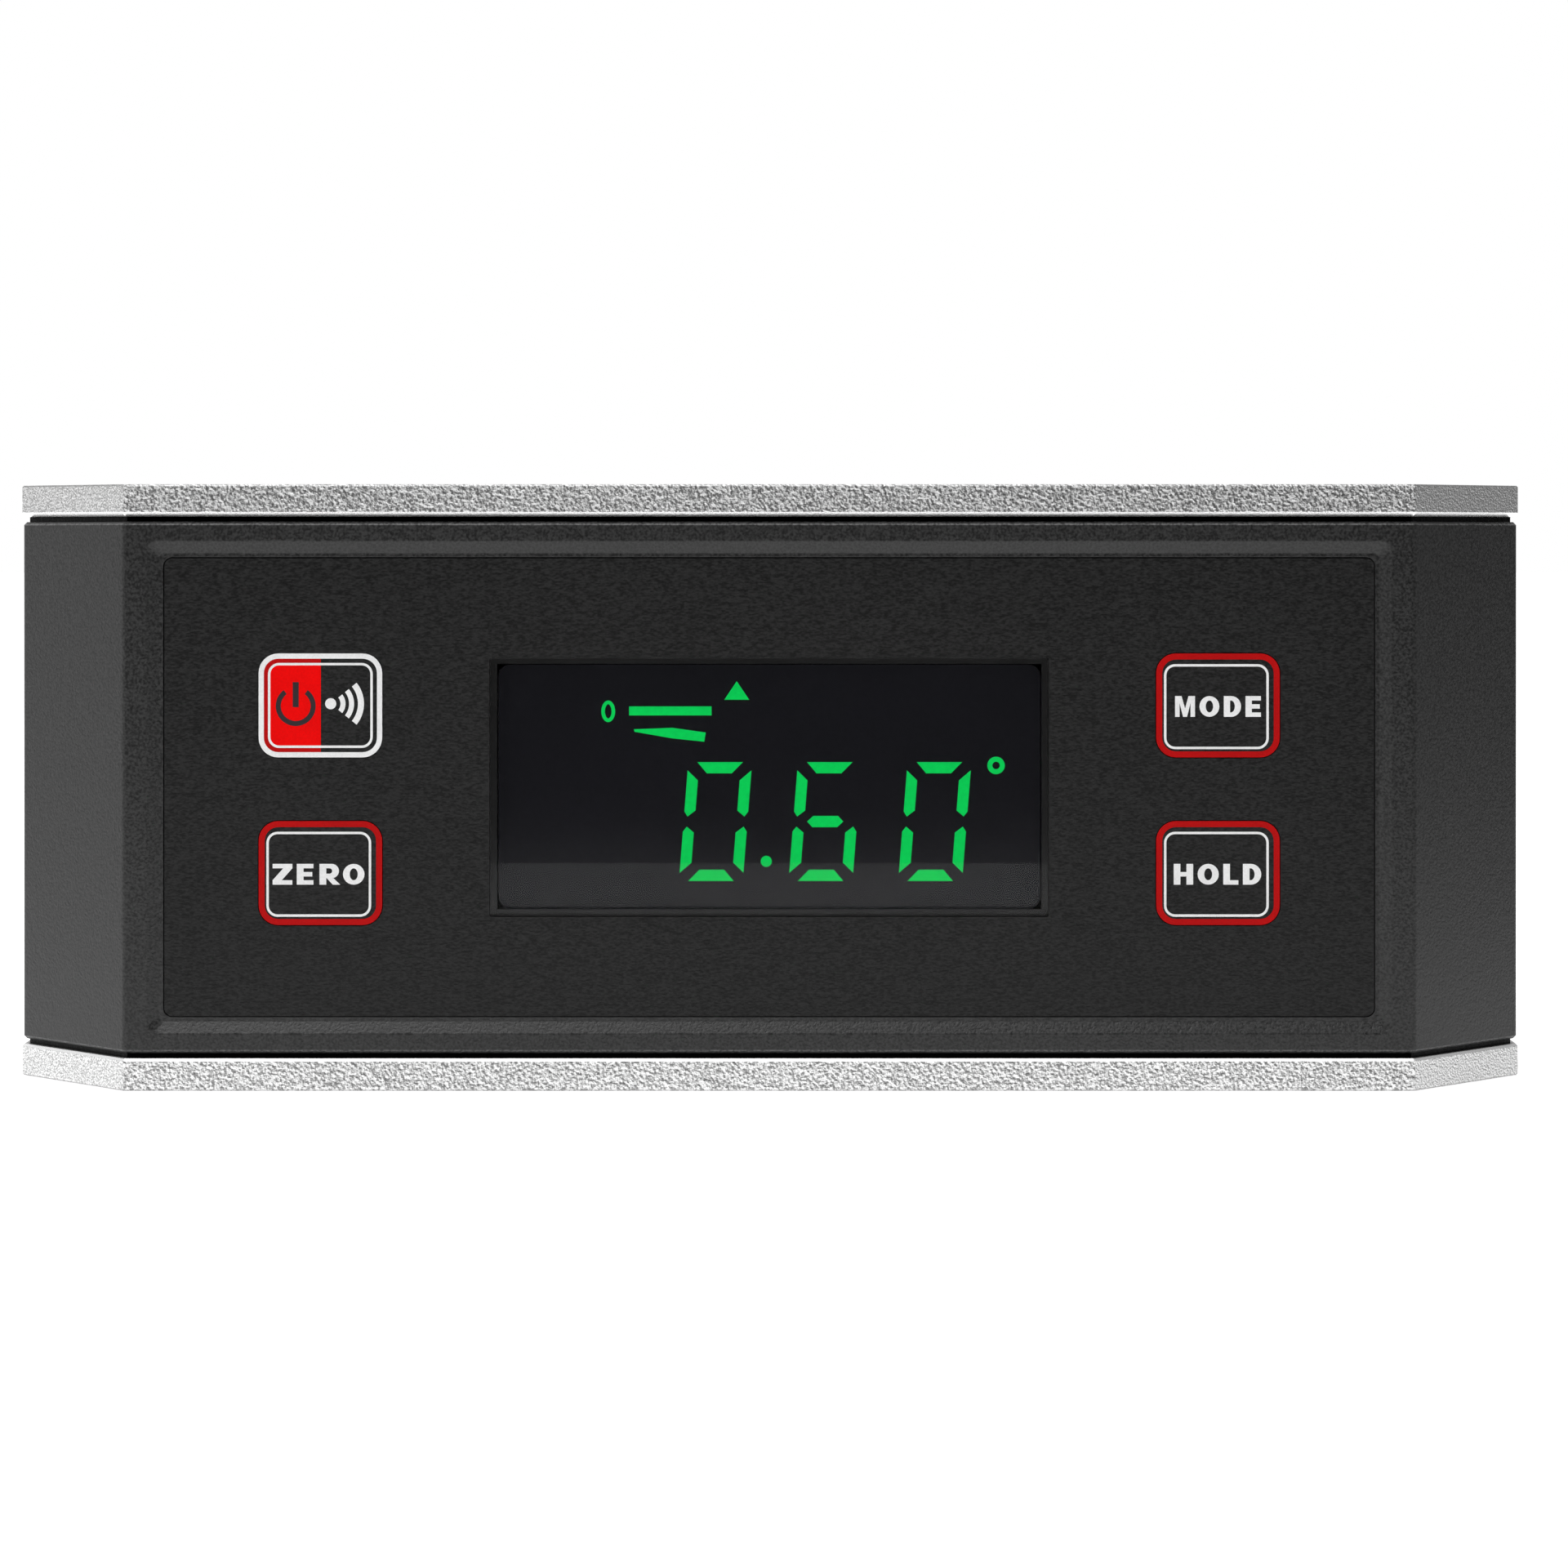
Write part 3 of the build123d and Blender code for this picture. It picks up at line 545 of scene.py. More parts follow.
@dataclass(frozen=True)
class MouldedShell(Finish):
    """Moulded casing, with painted shade that makes it black in the narrow gaps beside the plates and a
    painted highlight that makes it lighter along its rims.
    """

    gap: float = 0.5
    # painted shade: near-black colour of the narrow gaps beside the plates
    gap_shade_colour: Colour = (0.001, 0.001, 0.001)
    rim_start: float = 0.66
    rim_end: float = 0.84
    # painted highlight along the rim bevels
    rim_highlight_colour: Colour = (0.085, 0.085, 0.085)

    def depth(self, bench: MaterialBench) -> Socket:
        """Distance from the nearer plate, in metres.

        Args:
            bench: the material's bench.

        Returns:
            The distance.
        """
        low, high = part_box("front_casing")
        above = bench.minus(bench.axes(bench.place)[2], (low.z + high.z) / 2)
        return bench.minus((high.z - low.z) / 2, bench.size(above))

    def base(self, bench: MaterialBench) -> Socket:
        """Colour by the distance from the nearer plate: painted shade in the gaps and a painted highlight on
        the rims.

        Args:
            bench: the material's bench.

        Returns:
            The colour.
        """
        depth = self.depth(bench)
        # painted highlight on the band of the rim bevel
        on_rim_highlight = bench.times(bench.over(depth, self.rim_start * MM), bench.under(depth, self.rim_end * MM))
        colour = bench.mix(on_rim_highlight, self.colour, self.rim_highlight_colour)
        # painted shade in the gaps beside the plates
        return bench.mix(bench.under(depth, self.gap * MM), colour, self.gap_shade_colour)

    def extras(self, bench: MaterialBench) -> None:
        """Take the shine out of the narrow gaps, which a metal of the gaps' colour does, so that their
        painted shade stays black.
        """
        bench.give(Metallic=bench.under(self.depth(bench), self.gap * MM))


@dataclass(frozen=True)
class LitFigure(Finish):
    """Lit part of the display, or a dark one with a faint painted glow that stands in for lamplight it does
    not get behind the window.
    """

    strength: float = 0.4
    glow_patch: float = 0.5
    glow_drift: float = 0.16

    def extras(self, bench: MaterialBench) -> None:
        """Let the figure glow, a little unevenly; on the dark parts this glow is painted light.

        Args:
            bench: the material's bench.
        """
        glow = SHELF.use(bench, Effect.DRIFT, Vector=bench.place, Color=self.colour,
                         Patch=self.glow_patch * MM, Amount=self.glow_drift)
        bench.give(Emission_Color=glow.outputs["Color"], Emission_Strength=self.strength)


@dataclass(frozen=True)
class ClearSheet(Finish):
    """Clear plastic, where a low index stands for a coating that mirrors little."""

    index: float = 1.49

    def extras(self, bench: MaterialBench) -> None:
        """Make the sheet clear."""
        bench.give(Transmission_Weight=1.0, IOR=self.index)


@dataclass(frozen=True)
class CellSleeve(Finish):
    """Round battery: bare steel ends, a sleeve, and a band of another colour at its positive end."""

    band: Colour = grey(188)
    steel: Colour = grey(205)
    positive_side: float = 1.0
    node: str = ""
    band_share: float = 0.27
    tip_length: float = 1.8
    end_length: float = 0.45
    sleeve_shine: float = 0.35

    def along(self, bench: MaterialBench) -> tuple[Socket, float]:
        """Measure along the battery.

        Args:
            bench: the material's bench.

        Returns:
            Distance from the positive tip and the battery's whole length, in metres.
        """
        low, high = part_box(self.node)
        tip = high.x if self.positive_side > 0 else low.x
        return bench.size(bench.minus(bench.axes(bench.place)[0], tip)), high.x - low.x

    def sleeved(self, bench: MaterialBench) -> Socket:
        """Mask that is 1 on the sleeve and 0 on the bare ends.

        Args:
            bench: the material's bench.

        Returns:
            The mask.
        """
        along, length = self.along(bench)
        after_tip = bench.over(along, self.tip_length * MM)
        return bench.times(after_tip, bench.under(along, length - self.end_length * MM))

    def base(self, bench: MaterialBench) -> Socket:
        """Steel at the ends, the band near the positive one and the sleeve's colour elsewhere.

        Args:
            bench: the material's bench.

        Returns:
            The colour.
        """
        along, length = self.along(bench)
        printed = bench.mix(bench.under(along, self.band_share * length), self.colour, self.band)
        return bench.mix(self.sleeved(bench), self.steel, printed)

    def extras(self, bench: MaterialBench) -> None:
        """Make the bare ends metal and give the sleeve a little of its shine."""
        bench.give(Metallic=bench.between(self.sleeved(bench), 1.0, self.sleeve_shine))


@dataclass(frozen=True)
class Ink(Finish):
    """Ink or paint of a printed mark."""

    roughness: float = 0.5
    grain_size: float = 0.2
    grain_depth: float = 0.006
    grain_tint: float = 0.05
    patch_size: float = 2.5
    patch_amount: float = 0.05
    specular: float = 0.3


ALUMINIUM = BlastedMetal("blasted_aluminium", grey(208), 0.4, metallic=1.0, grain_size=0.3, grain_depth=0.16,
                         grain_tint=0.5, patch_size=30.0, patch_amount=0.03, edge_radius=0.12, edge_highlight=0.2)
CASING = MouldedShell("moulded_casing", grey(34), 0.4, grain_size=0.26, grain_depth=0.06, grain_tint=0.7,
                      patch_size=22.0, patch_amount=0.05, edge_radius=0.15, specular=0.42)
LABEL = Finish("printed_film", grey(27), 0.44, grain_size=0.17, grain_depth=0.06, grain_tint=0.65,
               patch_size=14.0, specular=0.22, stretch=2.2)
WINDOW = ClearSheet("clear_window", grey(250), 0.0, grain_size=6.0, grain_depth=0.0, gloss_drift=0.0,
                    patch_amount=0.01, index=1.17)
# painted light: the dark cell glows faintly in place of lamplight that does not reach it behind the window
CELL_GLASS = LitFigure("display_black", screen(20, 20, 23), 0.11, grain_size=1.5, grain_depth=0.0,
                       gloss_drift=0.01, specular=0.17, strength=0.6)
# painted light: the printed border glows faintly in place of lamplight behind the window
WINDOW_BORDER = LitFigure("border_black", grey(26), 0.11, grain_depth=0.0, gloss_drift=0.01, specular=0.2,
                          strength=0.65)
FIGURES = LitFigure("lit_figures", screen(0, 206, 86), 0.5, grain_depth=0.001, specular=0.1)
WHITE_INK = Ink("white_ink", grey(244), grain_tint=0.04, patch_size=2.0, patch_amount=0.04)
RED_INK = Ink("red_ink", screen(184, 2, 4), specular=0.15)
BRIGHT_RED_INK = Ink("bright_red_ink", screen(244, 0, 0), grain_tint=0.04, patch_amount=0.04, specular=0.1)
GREY_INK = Ink("grey_ink", grey(128), grain_tint=0.06)
DARK_INK = Ink("dark_ink", screen(46, 34, 38), grain_tint=0.06)
GUIDE = ClearSheet("light_guide", grey(240), 0.2, grain_size=0.8, patch_amount=0.02)
RUBBER = Finish("grey_rubber", grey(150), 0.7, grain_size=0.3, grain_depth=0.02, grain_tint=0.1)
FRAME_PLASTIC = Finish("white_frame", grey(225), 0.5, grain_size=0.3, edge_radius=0.15)
LAMINATE = Finish("green_laminate", screen(18, 92, 48), 0.35, grain_size=0.5, grain_tint=0.12,
                  patch_size=5.0, patch_amount=0.12)
RESIN = Finish("black_resin", grey(38), 0.45, grain_size=0.15, grain_tint=0.1, edge_radius=0.08)
CAN = Finish("pressed_steel", grey(190), 0.3, metallic=1.0, grain_size=0.3, grain_depth=0.004,
             grain_tint=0.06, edge_radius=0.1, stretch=4.0)
STEM = Finish("grey_stem", grey(60), 0.45, grain_size=0.2, grain_depth=0.008, grain_tint=0.08,
              edge_radius=0.1)
SPRING_PLATING = Finish("spring_plating", screen(188, 183, 172), 0.28, metallic=1.0, grain_size=0.4,
                        grain_depth=0.004, grain_tint=0.05)
MAGNET = Finish("bright_plating", grey(205), 0.2, metallic=1.0, grain_size=0.5, grain_depth=0.004,
                grain_tint=0.05, edge_radius=0.15, edge_highlight=0.1)
SCREW = Finish("zinc_screw", grey(176), 0.34, metallic=1.0, grain_size=0.2, grain_depth=0.006,
               grain_tint=0.12, edge_radius=0.1, edge_highlight=0.12)


def coat(piece: Piece, finish: Finish) -> None:
    """Give a piece one finish and no other."""
    piece.data.materials.clear()
    piece.data.materials.append(finish.material())


def dress(finish: Finish, *nodes: str) -> None:
    """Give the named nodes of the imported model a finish."""
    for name in nodes:
        coat(frame["nodes"][name], finish)


def select_only(*pieces: Piece) -> None:
    """Select these pieces and nothing else, with the first one active.

    Args:
        pieces: the pieces.
    """
    bpy.ops.object.select_all(action="DESELECT")
    for piece in pieces:
        piece.select_set(True)
    bpy.context.view_layer.objects.active = pieces[0]


@contextmanager
def editing(piece: Piece, everything: bool = True) -> Iterator[None]:
    """Work on one piece in edit mode.

    Args:
        piece: the piece.
        everything: whether all of it is selected first.
    """
    select_only(piece)
    bpy.ops.object.mode_set(mode="EDIT")
    if everything:
        bpy.ops.mesh.select_all(action="SELECT")
    yield
    bpy.ops.object.mode_set(mode="OBJECT")


def choose(piece: Piece, wanted: Callable[[Vector], bool]) -> None:
    """Select the points of a piece that a test picks, and no others.

    Args:
        piece: the piece.
        wanted: test of a point's place.
    """
    with editing(piece):
        bpy.ops.mesh.select_all(action="DESELECT")
    for vertex in piece.data.vertices:
        vertex.select = wanted(vertex.co)


def settle(piece: Piece) -> Piece:
    """Put a piece's place, turn and size into its mesh.

    Args:
        piece: the piece.

    Returns:
        The piece.
    """
    select_only(piece)
    bpy.ops.object.transform_apply(location=True, rotation=True, scale=True)
    return piece


def named(name: str) -> Piece:
    """Name the active piece, which was just added or joined.

    Args:
        name: its name.

    Returns:
        The piece.
    """
    piece = bpy.context.active_object
    piece.name = name
    piece.data.name = name
    return piece


def spot(place: Point) -> Place:
    """A place on the XY plane, in metres."""
    return (place[0] * MM, place[1] * MM, 0)


@dataclass(frozen=True)
class Face:
    """A flat face of the model that thin raised shapes stand on.

    Places on it are (across, up) in millimetres from its centre, as seen by someone who looks at it.
    """

    centre: Vector
    body: str
    slot: str
    rise: float
    bite: float
    backward: bool = False

    def stand(self, piece: Piece, finish: Finish, level: float = 0.0) -> None:
        """Thicken a flat shape, stand it on the face and give it its finish and body.

        Args:
            piece: the flat shape, drawn on the XY plane.
            finish: its finish.
            level: how much higher than the others it stands, in millimetres.
        """
        rise = self.rise + level
        depth = -(rise + self.bite) * MM
        with editing(piece):
            bpy.ops.mesh.extrude_region_move(TRANSFORM_OT_translate={"value": (0, 0, depth)})
            bpy.ops.mesh.select_all(action="SELECT")
            bpy.ops.mesh.normals_make_consistent(inside=False)
        piece.rotation_euler = (math.pi / 2, 0, math.pi if self.backward else 0)
        piece.location = self.centre + Vector((0, (rise if self.backward else -rise) * MM, 0))
        settle(piece)
        coat(piece, finish)
        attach(piece, self.body)
        LOG.info("%s rides on %s", piece.name, self.body)


@dataclass(frozen=True)
class FlatShapes:
    """Draws flat shapes on the XY plane; sizes and places are in millimetres."""

    corner_steps: int = 8
    round_steps: int = 48
    arc_step: float = 6.0

    def plate(self, name: str, width: float, height: float, radius: float = 0.0,
              place: Point = (0.0, 0.0)) -> Piece:
        """Draw a rectangle with rounded corners.

        Args:
            name: its name.
            width: its width.
            height: its height.
            radius: radius of its corners.
            place: its centre.

        Returns:
            The flat shape.
        """
        bpy.ops.mesh.primitive_plane_add(size=MM, location=spot(place))
        piece = named(name)
        piece.scale = (width, height, 1)
        settle(piece)
        if radius:
            with editing(piece):
                bpy.ops.mesh.bevel(offset_type="OFFSET", offset=radius * MM, segments=self.corner_steps,
                                   affect="VERTICES")
        return piece

    def bar(self, name: str, edges: Edges) -> Piece:
        """Draw a rectangle from its left, right, lower and upper edge."""
        left, right, low, high = edges
        return self.plate(name, right - left, high - low, place=((left + right) / 2, (low + high) / 2))

    def disc(self, name: str, radius: float, place: Point, stretch: float = 1.0) -> Piece:
        """Draw a disc or an oval.

        Args:
            name: its name.
            radius: its radius, across.
            place: its centre.
            stretch: its height as a share of its width.

        Returns:
            The flat shape.
        """
        bpy.ops.mesh.primitive_circle_add(vertices=self.round_steps, radius=radius * MM, fill_type="NGON",
                                          location=spot(place))
        piece = named(name)
        piece.scale = (1, stretch, 1)
        return settle(piece)

    def hollow(self, piece: Piece, line: float) -> Piece:
        """Turn a filled shape into its outline.

        Args:
            piece: the filled shape.
            line: width of the outline.

        Returns:
            The outline.
        """
        with editing(piece):
            bpy.ops.mesh.inset(thickness=line * MM, depth=0)
            bpy.ops.mesh.delete(type="FACE")
        return piece

    def outline(self, name: str, points: Sequence[Point]) -> Piece:
        """Draw a shape with straight sides.

        Args:
            name: its name.
            points: its corners in order.

        Returns:
            The flat shape.
        """
        bpy.ops.mesh.primitive_circle_add(vertices=len(points), radius=MM, fill_type="NGON",
                                          location=(0, 0, 0))
        piece = named(name)
        for vertex, point in zip(piece.data.vertices, points):
            vertex.co = spot(point)
        piece.data.update()
        return piece

    def arc(self, name: str, radius: float, line: float, start: float, sweep: float, place: Point) -> Piece:
        """Draw a part of a ring by spinning an edge that points away from its centre.

        Args:
            name: its name.
            radius: radius of its middle line.
            line: width of its line.
            start: where it starts, in degrees from across towards up.
            sweep: angle that it covers, in degrees.
            place: centre of the ring.

        Returns:
            The flat shape.
        """
        bpy.ops.mesh.primitive_plane_add(size=line * MM, location=spot((radius, line / 2)))
        piece = settle(named(name))
        choose(piece, lambda co: co.y > line / 2 * MM)
        with editing(piece, everything=False):
            bpy.ops.mesh.delete(type="VERT")
        with editing(piece):
            bpy.ops.mesh.spin(steps=math.ceil(sweep / self.arc_step), angle=math.radians(sweep),
                              center=(0, 0, 0), axis=(0, 0, -1))
        piece.rotation_euler = (0, 0, math.radians(start))
        piece.location = spot(place)
        return settle(piece)

    def ring(self, name: str, outer: Sequence[Point], inner: Sequence[Point]) -> Piece:
        """Draw the band between two closed lines with as many points each.

        Args:
            name: its name.
            outer: points of the outer line.
            inner: points of the inner line.

        Returns:
            The flat shape.
        """
        lines = [self.outline(name, outer), self.outline(f"{name}_hole", inner)]
        for line in lines:
            with editing(line):
                bpy.ops.mesh.delete(type="ONLY_FACE")
        band = self.joined(name, lines)
        with editing(band):
            bpy.ops.mesh.bridge_edge_loops()
        return band

    def joined(self, name: str, shapes: Sequence[Piece]) -> Piece:
        """Make one shape of several.

        Args:
            name: its name.
            shapes: the shapes.

        Returns:
            The one shape.
        """
        select_only(*shapes)
        if len(shapes) > 1:
            bpy.ops.object.join()
        return named(name)


DRAW = FlatShapes()


@dataclass(frozen=True)
class KeyLetters:
    """Bold, wide capitals for the words on the keys, drawn from stems, bars and bowls.

    Sizes are in millimetres, apart from the shares, whose names say of what they are a share.
    """

    height: float = 2.06
    stem: float = 0.66
    bar: float = 0.44
    space: float = 0.44
    widths: tuple[tuple[str, float], ...] = (("Z", 1.92), ("E", 1.62), ("R", 2.02), ("O", 2.1), ("M", 2.1),
                                             ("D", 1.82), ("H", 1.92), ("L", 1.5))
    spaces: tuple[tuple[str, float], ...] = (("ER", 0.6), ("RO", 0.27))
    curve_steps: int = 12
    arm_of_width: float = 0.93
    slope_of_stem: float = 1.35
    leg_of_stem: float = 0.72
    notch_of_width: float = 0.1
    crotch_of_height: float = 0.66
    valley_of_height: float = 0.4
    bowl_of_width: float = 0.8
    head_of_width: float = 0.94
    foot_of_stem: float = 1.1
    hip_of_stem: float = 2.0
    hip_of_height: float = 0.42

    def straight(self, letter: str, width: float) -> list[Point]:
        """Corners of a letter that has straight sides only.

        Args:
            letter: the letter.
            width: its width.

        Returns:
            Its corners from its lower left one.
        """
        top, stem, bar = self.height, self.stem, self.bar
        low, high, upper = (top - bar) / 2, (top + bar) / 2, top - bar
        right, middle = width - stem, width / 2
        arm, slope = self.arm_of_width * width, self.slope_of_stem * stem
        leg, notch = self.leg_of_stem * stem, self.notch_of_width * width
        crotch, valley = self.crotch_of_height * top, self.valley_of_height * top
        shapes = {
            "H": [(0, 0), (stem, 0), (stem, low), (right, low), (right, 0), (width, 0), (width, top),
                  (right, top), (right, high), (stem, high), (stem, top), (0, top)],
            "L": [(0, 0), (width, 0), (width, bar), (stem, bar), (stem, top), (0, top)],
            "E": [(0, 0), (width, 0), (width, bar), (stem, bar), (stem, low), (arm, low), (arm, high),
                  (stem, high), (stem, upper), (width, upper), (width, top), (0, top)],
            "Z": [(0, 0), (width, 0), (width, bar), (slope, bar), (width, upper), (width, top), (0, top),
                  (0, upper), (width - slope, upper), (0, bar)],
            "M": [(0, 0), (leg, 0), (leg, crotch), (middle - notch, 0), (middle + notch, 0),
                  (width - leg, crotch), (width - leg, 0), (width, 0), (width, top),
                  (width - leg - notch, top), (middle, valley), (leg + notch, top), (0, top)],
        }
        return shapes[letter]

    def bowl(self, left: float, right: float, low: float, high: float) -> list[Point]:
        """Line with a straight left side and a half-round right side.

        Args:
            left: its left side.
            right: its right side.
            low: its lower side.
            high: its upper side.

        Returns:
            Its points.
        """
        rise = (high - low) / 2
        reach = min(rise, (right - left) * self.bowl_of_width)
        turns = [math.pi * (step / self.curve_steps - 0.5) for step in range(self.curve_steps + 1)]
        curve = [(right - reach + reach * math.cos(turn), low + rise + rise * math.sin(turn))
                 for turn in turns]
        return [(left, low), *curve, (left, high)]

    def oval(self, width: float, inset_x: float, inset_z: float) -> list[Point]:
        """Oval that is set in from a letter's box.

        Args:
            width: width of the letter.
            inset_x: how far it is set in at its sides.
            inset_z: how far it is set in at its top and bottom.

        Returns:
            Its points.
        """
        half, rise = width / 2, self.height / 2
        turns = [math.pi * step / self.curve_steps for step in range(2 * self.curve_steps)]
        return [(half + (half - inset_x) * math.cos(turn), rise + (rise - inset_z) * math.sin(turn))
                for turn in turns]

    def shapes(self, name: str, letter: str, width: float) -> list[Piece]:
        """Draw one letter.

        Args:
            name: name of the word's piece.
            letter: the letter.
            width: its width.

        Returns:
            The flat shapes that it is made of, from its lower left corner at the origin.
        """
        stem, bar, top = self.stem, self.bar, self.height
        if letter == "O":
            return [DRAW.ring(name, self.oval(width, 0, 0), self.oval(width, stem, bar))]
        if letter == "D":
            hole = self.bowl(stem, width - stem, bar, top - bar)
            return [DRAW.ring(name, self.bowl(0, width, 0, top), hole)]
        if letter == "R":
            low = self.hip_of_height * top - bar / 2
            right = self.head_of_width * width
            head = DRAW.ring(name, self.bowl(0, right, low, top),
                             self.bowl(stem, right - stem, low + bar, top - bar))
            foot = DRAW.outline(name, [(0, 0), (stem, 0), (stem, low), (0, low)])
            leg = DRAW.outline(name, [(width - self.foot_of_stem * stem, 0), (width, 0), (width - stem, low),
                                      (width - self.hip_of_stem * stem, low)])
            return [head, foot, leg]
        return [DRAW.outline(name, self.straight(letter, width))]

    def word(self, name: str, letters: str, width: float, place: Point) -> Piece:
        """Draw a word.

        Args:
            name: its name.
            letters: the word.
            width: its width.
            place: its centre.

        Returns:
            The flat shape.
        """
        widths, pairs = dict(self.widths), dict(self.spaces)
        spaces = [pairs.get(first + second, self.space) for first, second in zip(letters, letters[1:])]
        share = (width - sum(spaces)) / sum(widths[letter] for letter in letters)
        shapes = []
        across = place[0] - width / 2
        for letter, space in zip(letters, [*spaces, 0.0]):
            for shape in self.shapes(name, letter, widths[letter]):
                shape.scale = (share, 1, 1)
                shape.location = spot((across, place[1] - self.height / 2))
                shapes.append(settle(shape))
            across += widths[letter] * share + space
        return DRAW.joined(name, shapes)


LETTERS = KeyLetters()


@dataclass
class Plates:
    """Blasted aluminium top and base plate."""

    nodes: tuple[str, ...] = ("top_plate", "base_plate")

    def build(self) -> None:
        """Give the plates their blasted finish."""
        dress(ALUMINIUM, *self.nodes)


@dataclass
class Housing:
    """Moulded shells, battery door and the label in the sunk field."""

    shells: tuple[str, ...] = ("front_casing", "rear_casing", "battery_door")
    arrow_length: float = 7.0
    arrow_head: float = 4.4
    arrow_stem: float = 1.8
    arrow_rise: float = 0.12
    arrow_bite: float = 0.03
    arrow_from_end: float = 22.0

    def build(self) -> None:
        """Give the shells and the label their finish and mark the door."""
        dress(CASING, *self.shells)
        dress(LABEL, "label_overlay")
        self.door_arrow()

    def door_arrow(self) -> None:
        """Add the raised arrow that shows which way the door slides off."""
        low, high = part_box("battery_door")
        centre = Vector((high.x - self.arrow_from_end * MM, high.y, (low.z + high.z) / 2))
        face = Face(centre, "battery_door", "black_casing", self.arrow_rise, self.arrow_bite, backward=True)
        tip, head, stem = -self.arrow_length / 2, self.arrow_head / 2, self.arrow_stem / 2
        points = [(tip, 0), (tip + head, -head), (tip + head, -stem), (-tip, -stem), (-tip, stem),
                  (tip + head, stem), (tip + head, head)]
        face.stand(DRAW.outline("battery_door_arrow", points), GREY_INK)


@dataclass
class Digit:
    """One digit of seven segments, as the liquid crystal cell draws it."""

    half_width: float = 3.18
    half_height: float = 5.92
    post: float = 1.1
    bar: float = 1.12
    gap: float = 0.82
    tip: float = 0.5
    shoulder: float = 0.35
    trim: float = 0.1
    middle_half: float = 1.8
    slant: float = 0.078
    dark: tuple[tuple[int, str], ...] = ((0, "middle"), (6, "upper_right"))

    def side(self, right: int, upper: int) -> list[Point]:
        """Corners of a side segment.

        Args:
            right: 1 on the right and -1 on the left.
            upper: 1 in the upper half and -1 in the lower half.

        Returns:
            The corners.
        """
        outer, top = self.half_width, self.half_height - self.gap
        inner = outer - self.post
        points = [(outer, top), (outer, 2 * self.tip), (outer - self.shoulder, self.tip),
                  (inner, 2 * self.tip + self.trim), (inner, top - self.post + self.trim)]
        return [(across * right, up * upper) for across, up in points]

    def cross_bar(self, upper: int) -> list[Point]:
        """Corners of the top or bottom segment.

        Args:
            upper: 1 for the top and -1 for the bottom.

        Returns:
            The corners.
        """
        outer = self.half_width - self.gap - self.trim
        inner = outer - self.bar + self.trim
        top, low = self.half_height, self.half_height - self.bar
        points = [(-outer, top), (outer, top), (inner, low), (-inner, low)]
        return [(across, up * upper) for across, up in points]

    def middle(self) -> list[Point]:
        """Corners of the middle segment.

        Returns:
            The corners.
        """
        wide, half = self.middle_half, self.bar / 2
        flat = wide - half
        return [(-wide, 0), (-flat, half), (flat, half), (wide, 0), (flat, -half), (-flat, -half)]

    def segments(self, number: int) -> dict[str, list[Point]]:
        """Lit segments of a number.

        Args:
            number: one of the numbers whose dark segment is known.

        Returns:
            The corners of each lit segment by its name, slanted.
        """
        shapes = {"top": self.cross_bar(1), "upper_left": self.side(-1, 1), "upper_right": self.side(1, 1),
                  "middle": self.middle(), "lower_left": self.side(-1, -1), "lower_right": self.side(1, -1),
                  "bottom": self.cross_bar(-1)}
        del shapes[dict(self.dark)[number]]
        return {name: [(across + self.slant * up, up) for across, up in points]
                for name, points in shapes.items()}


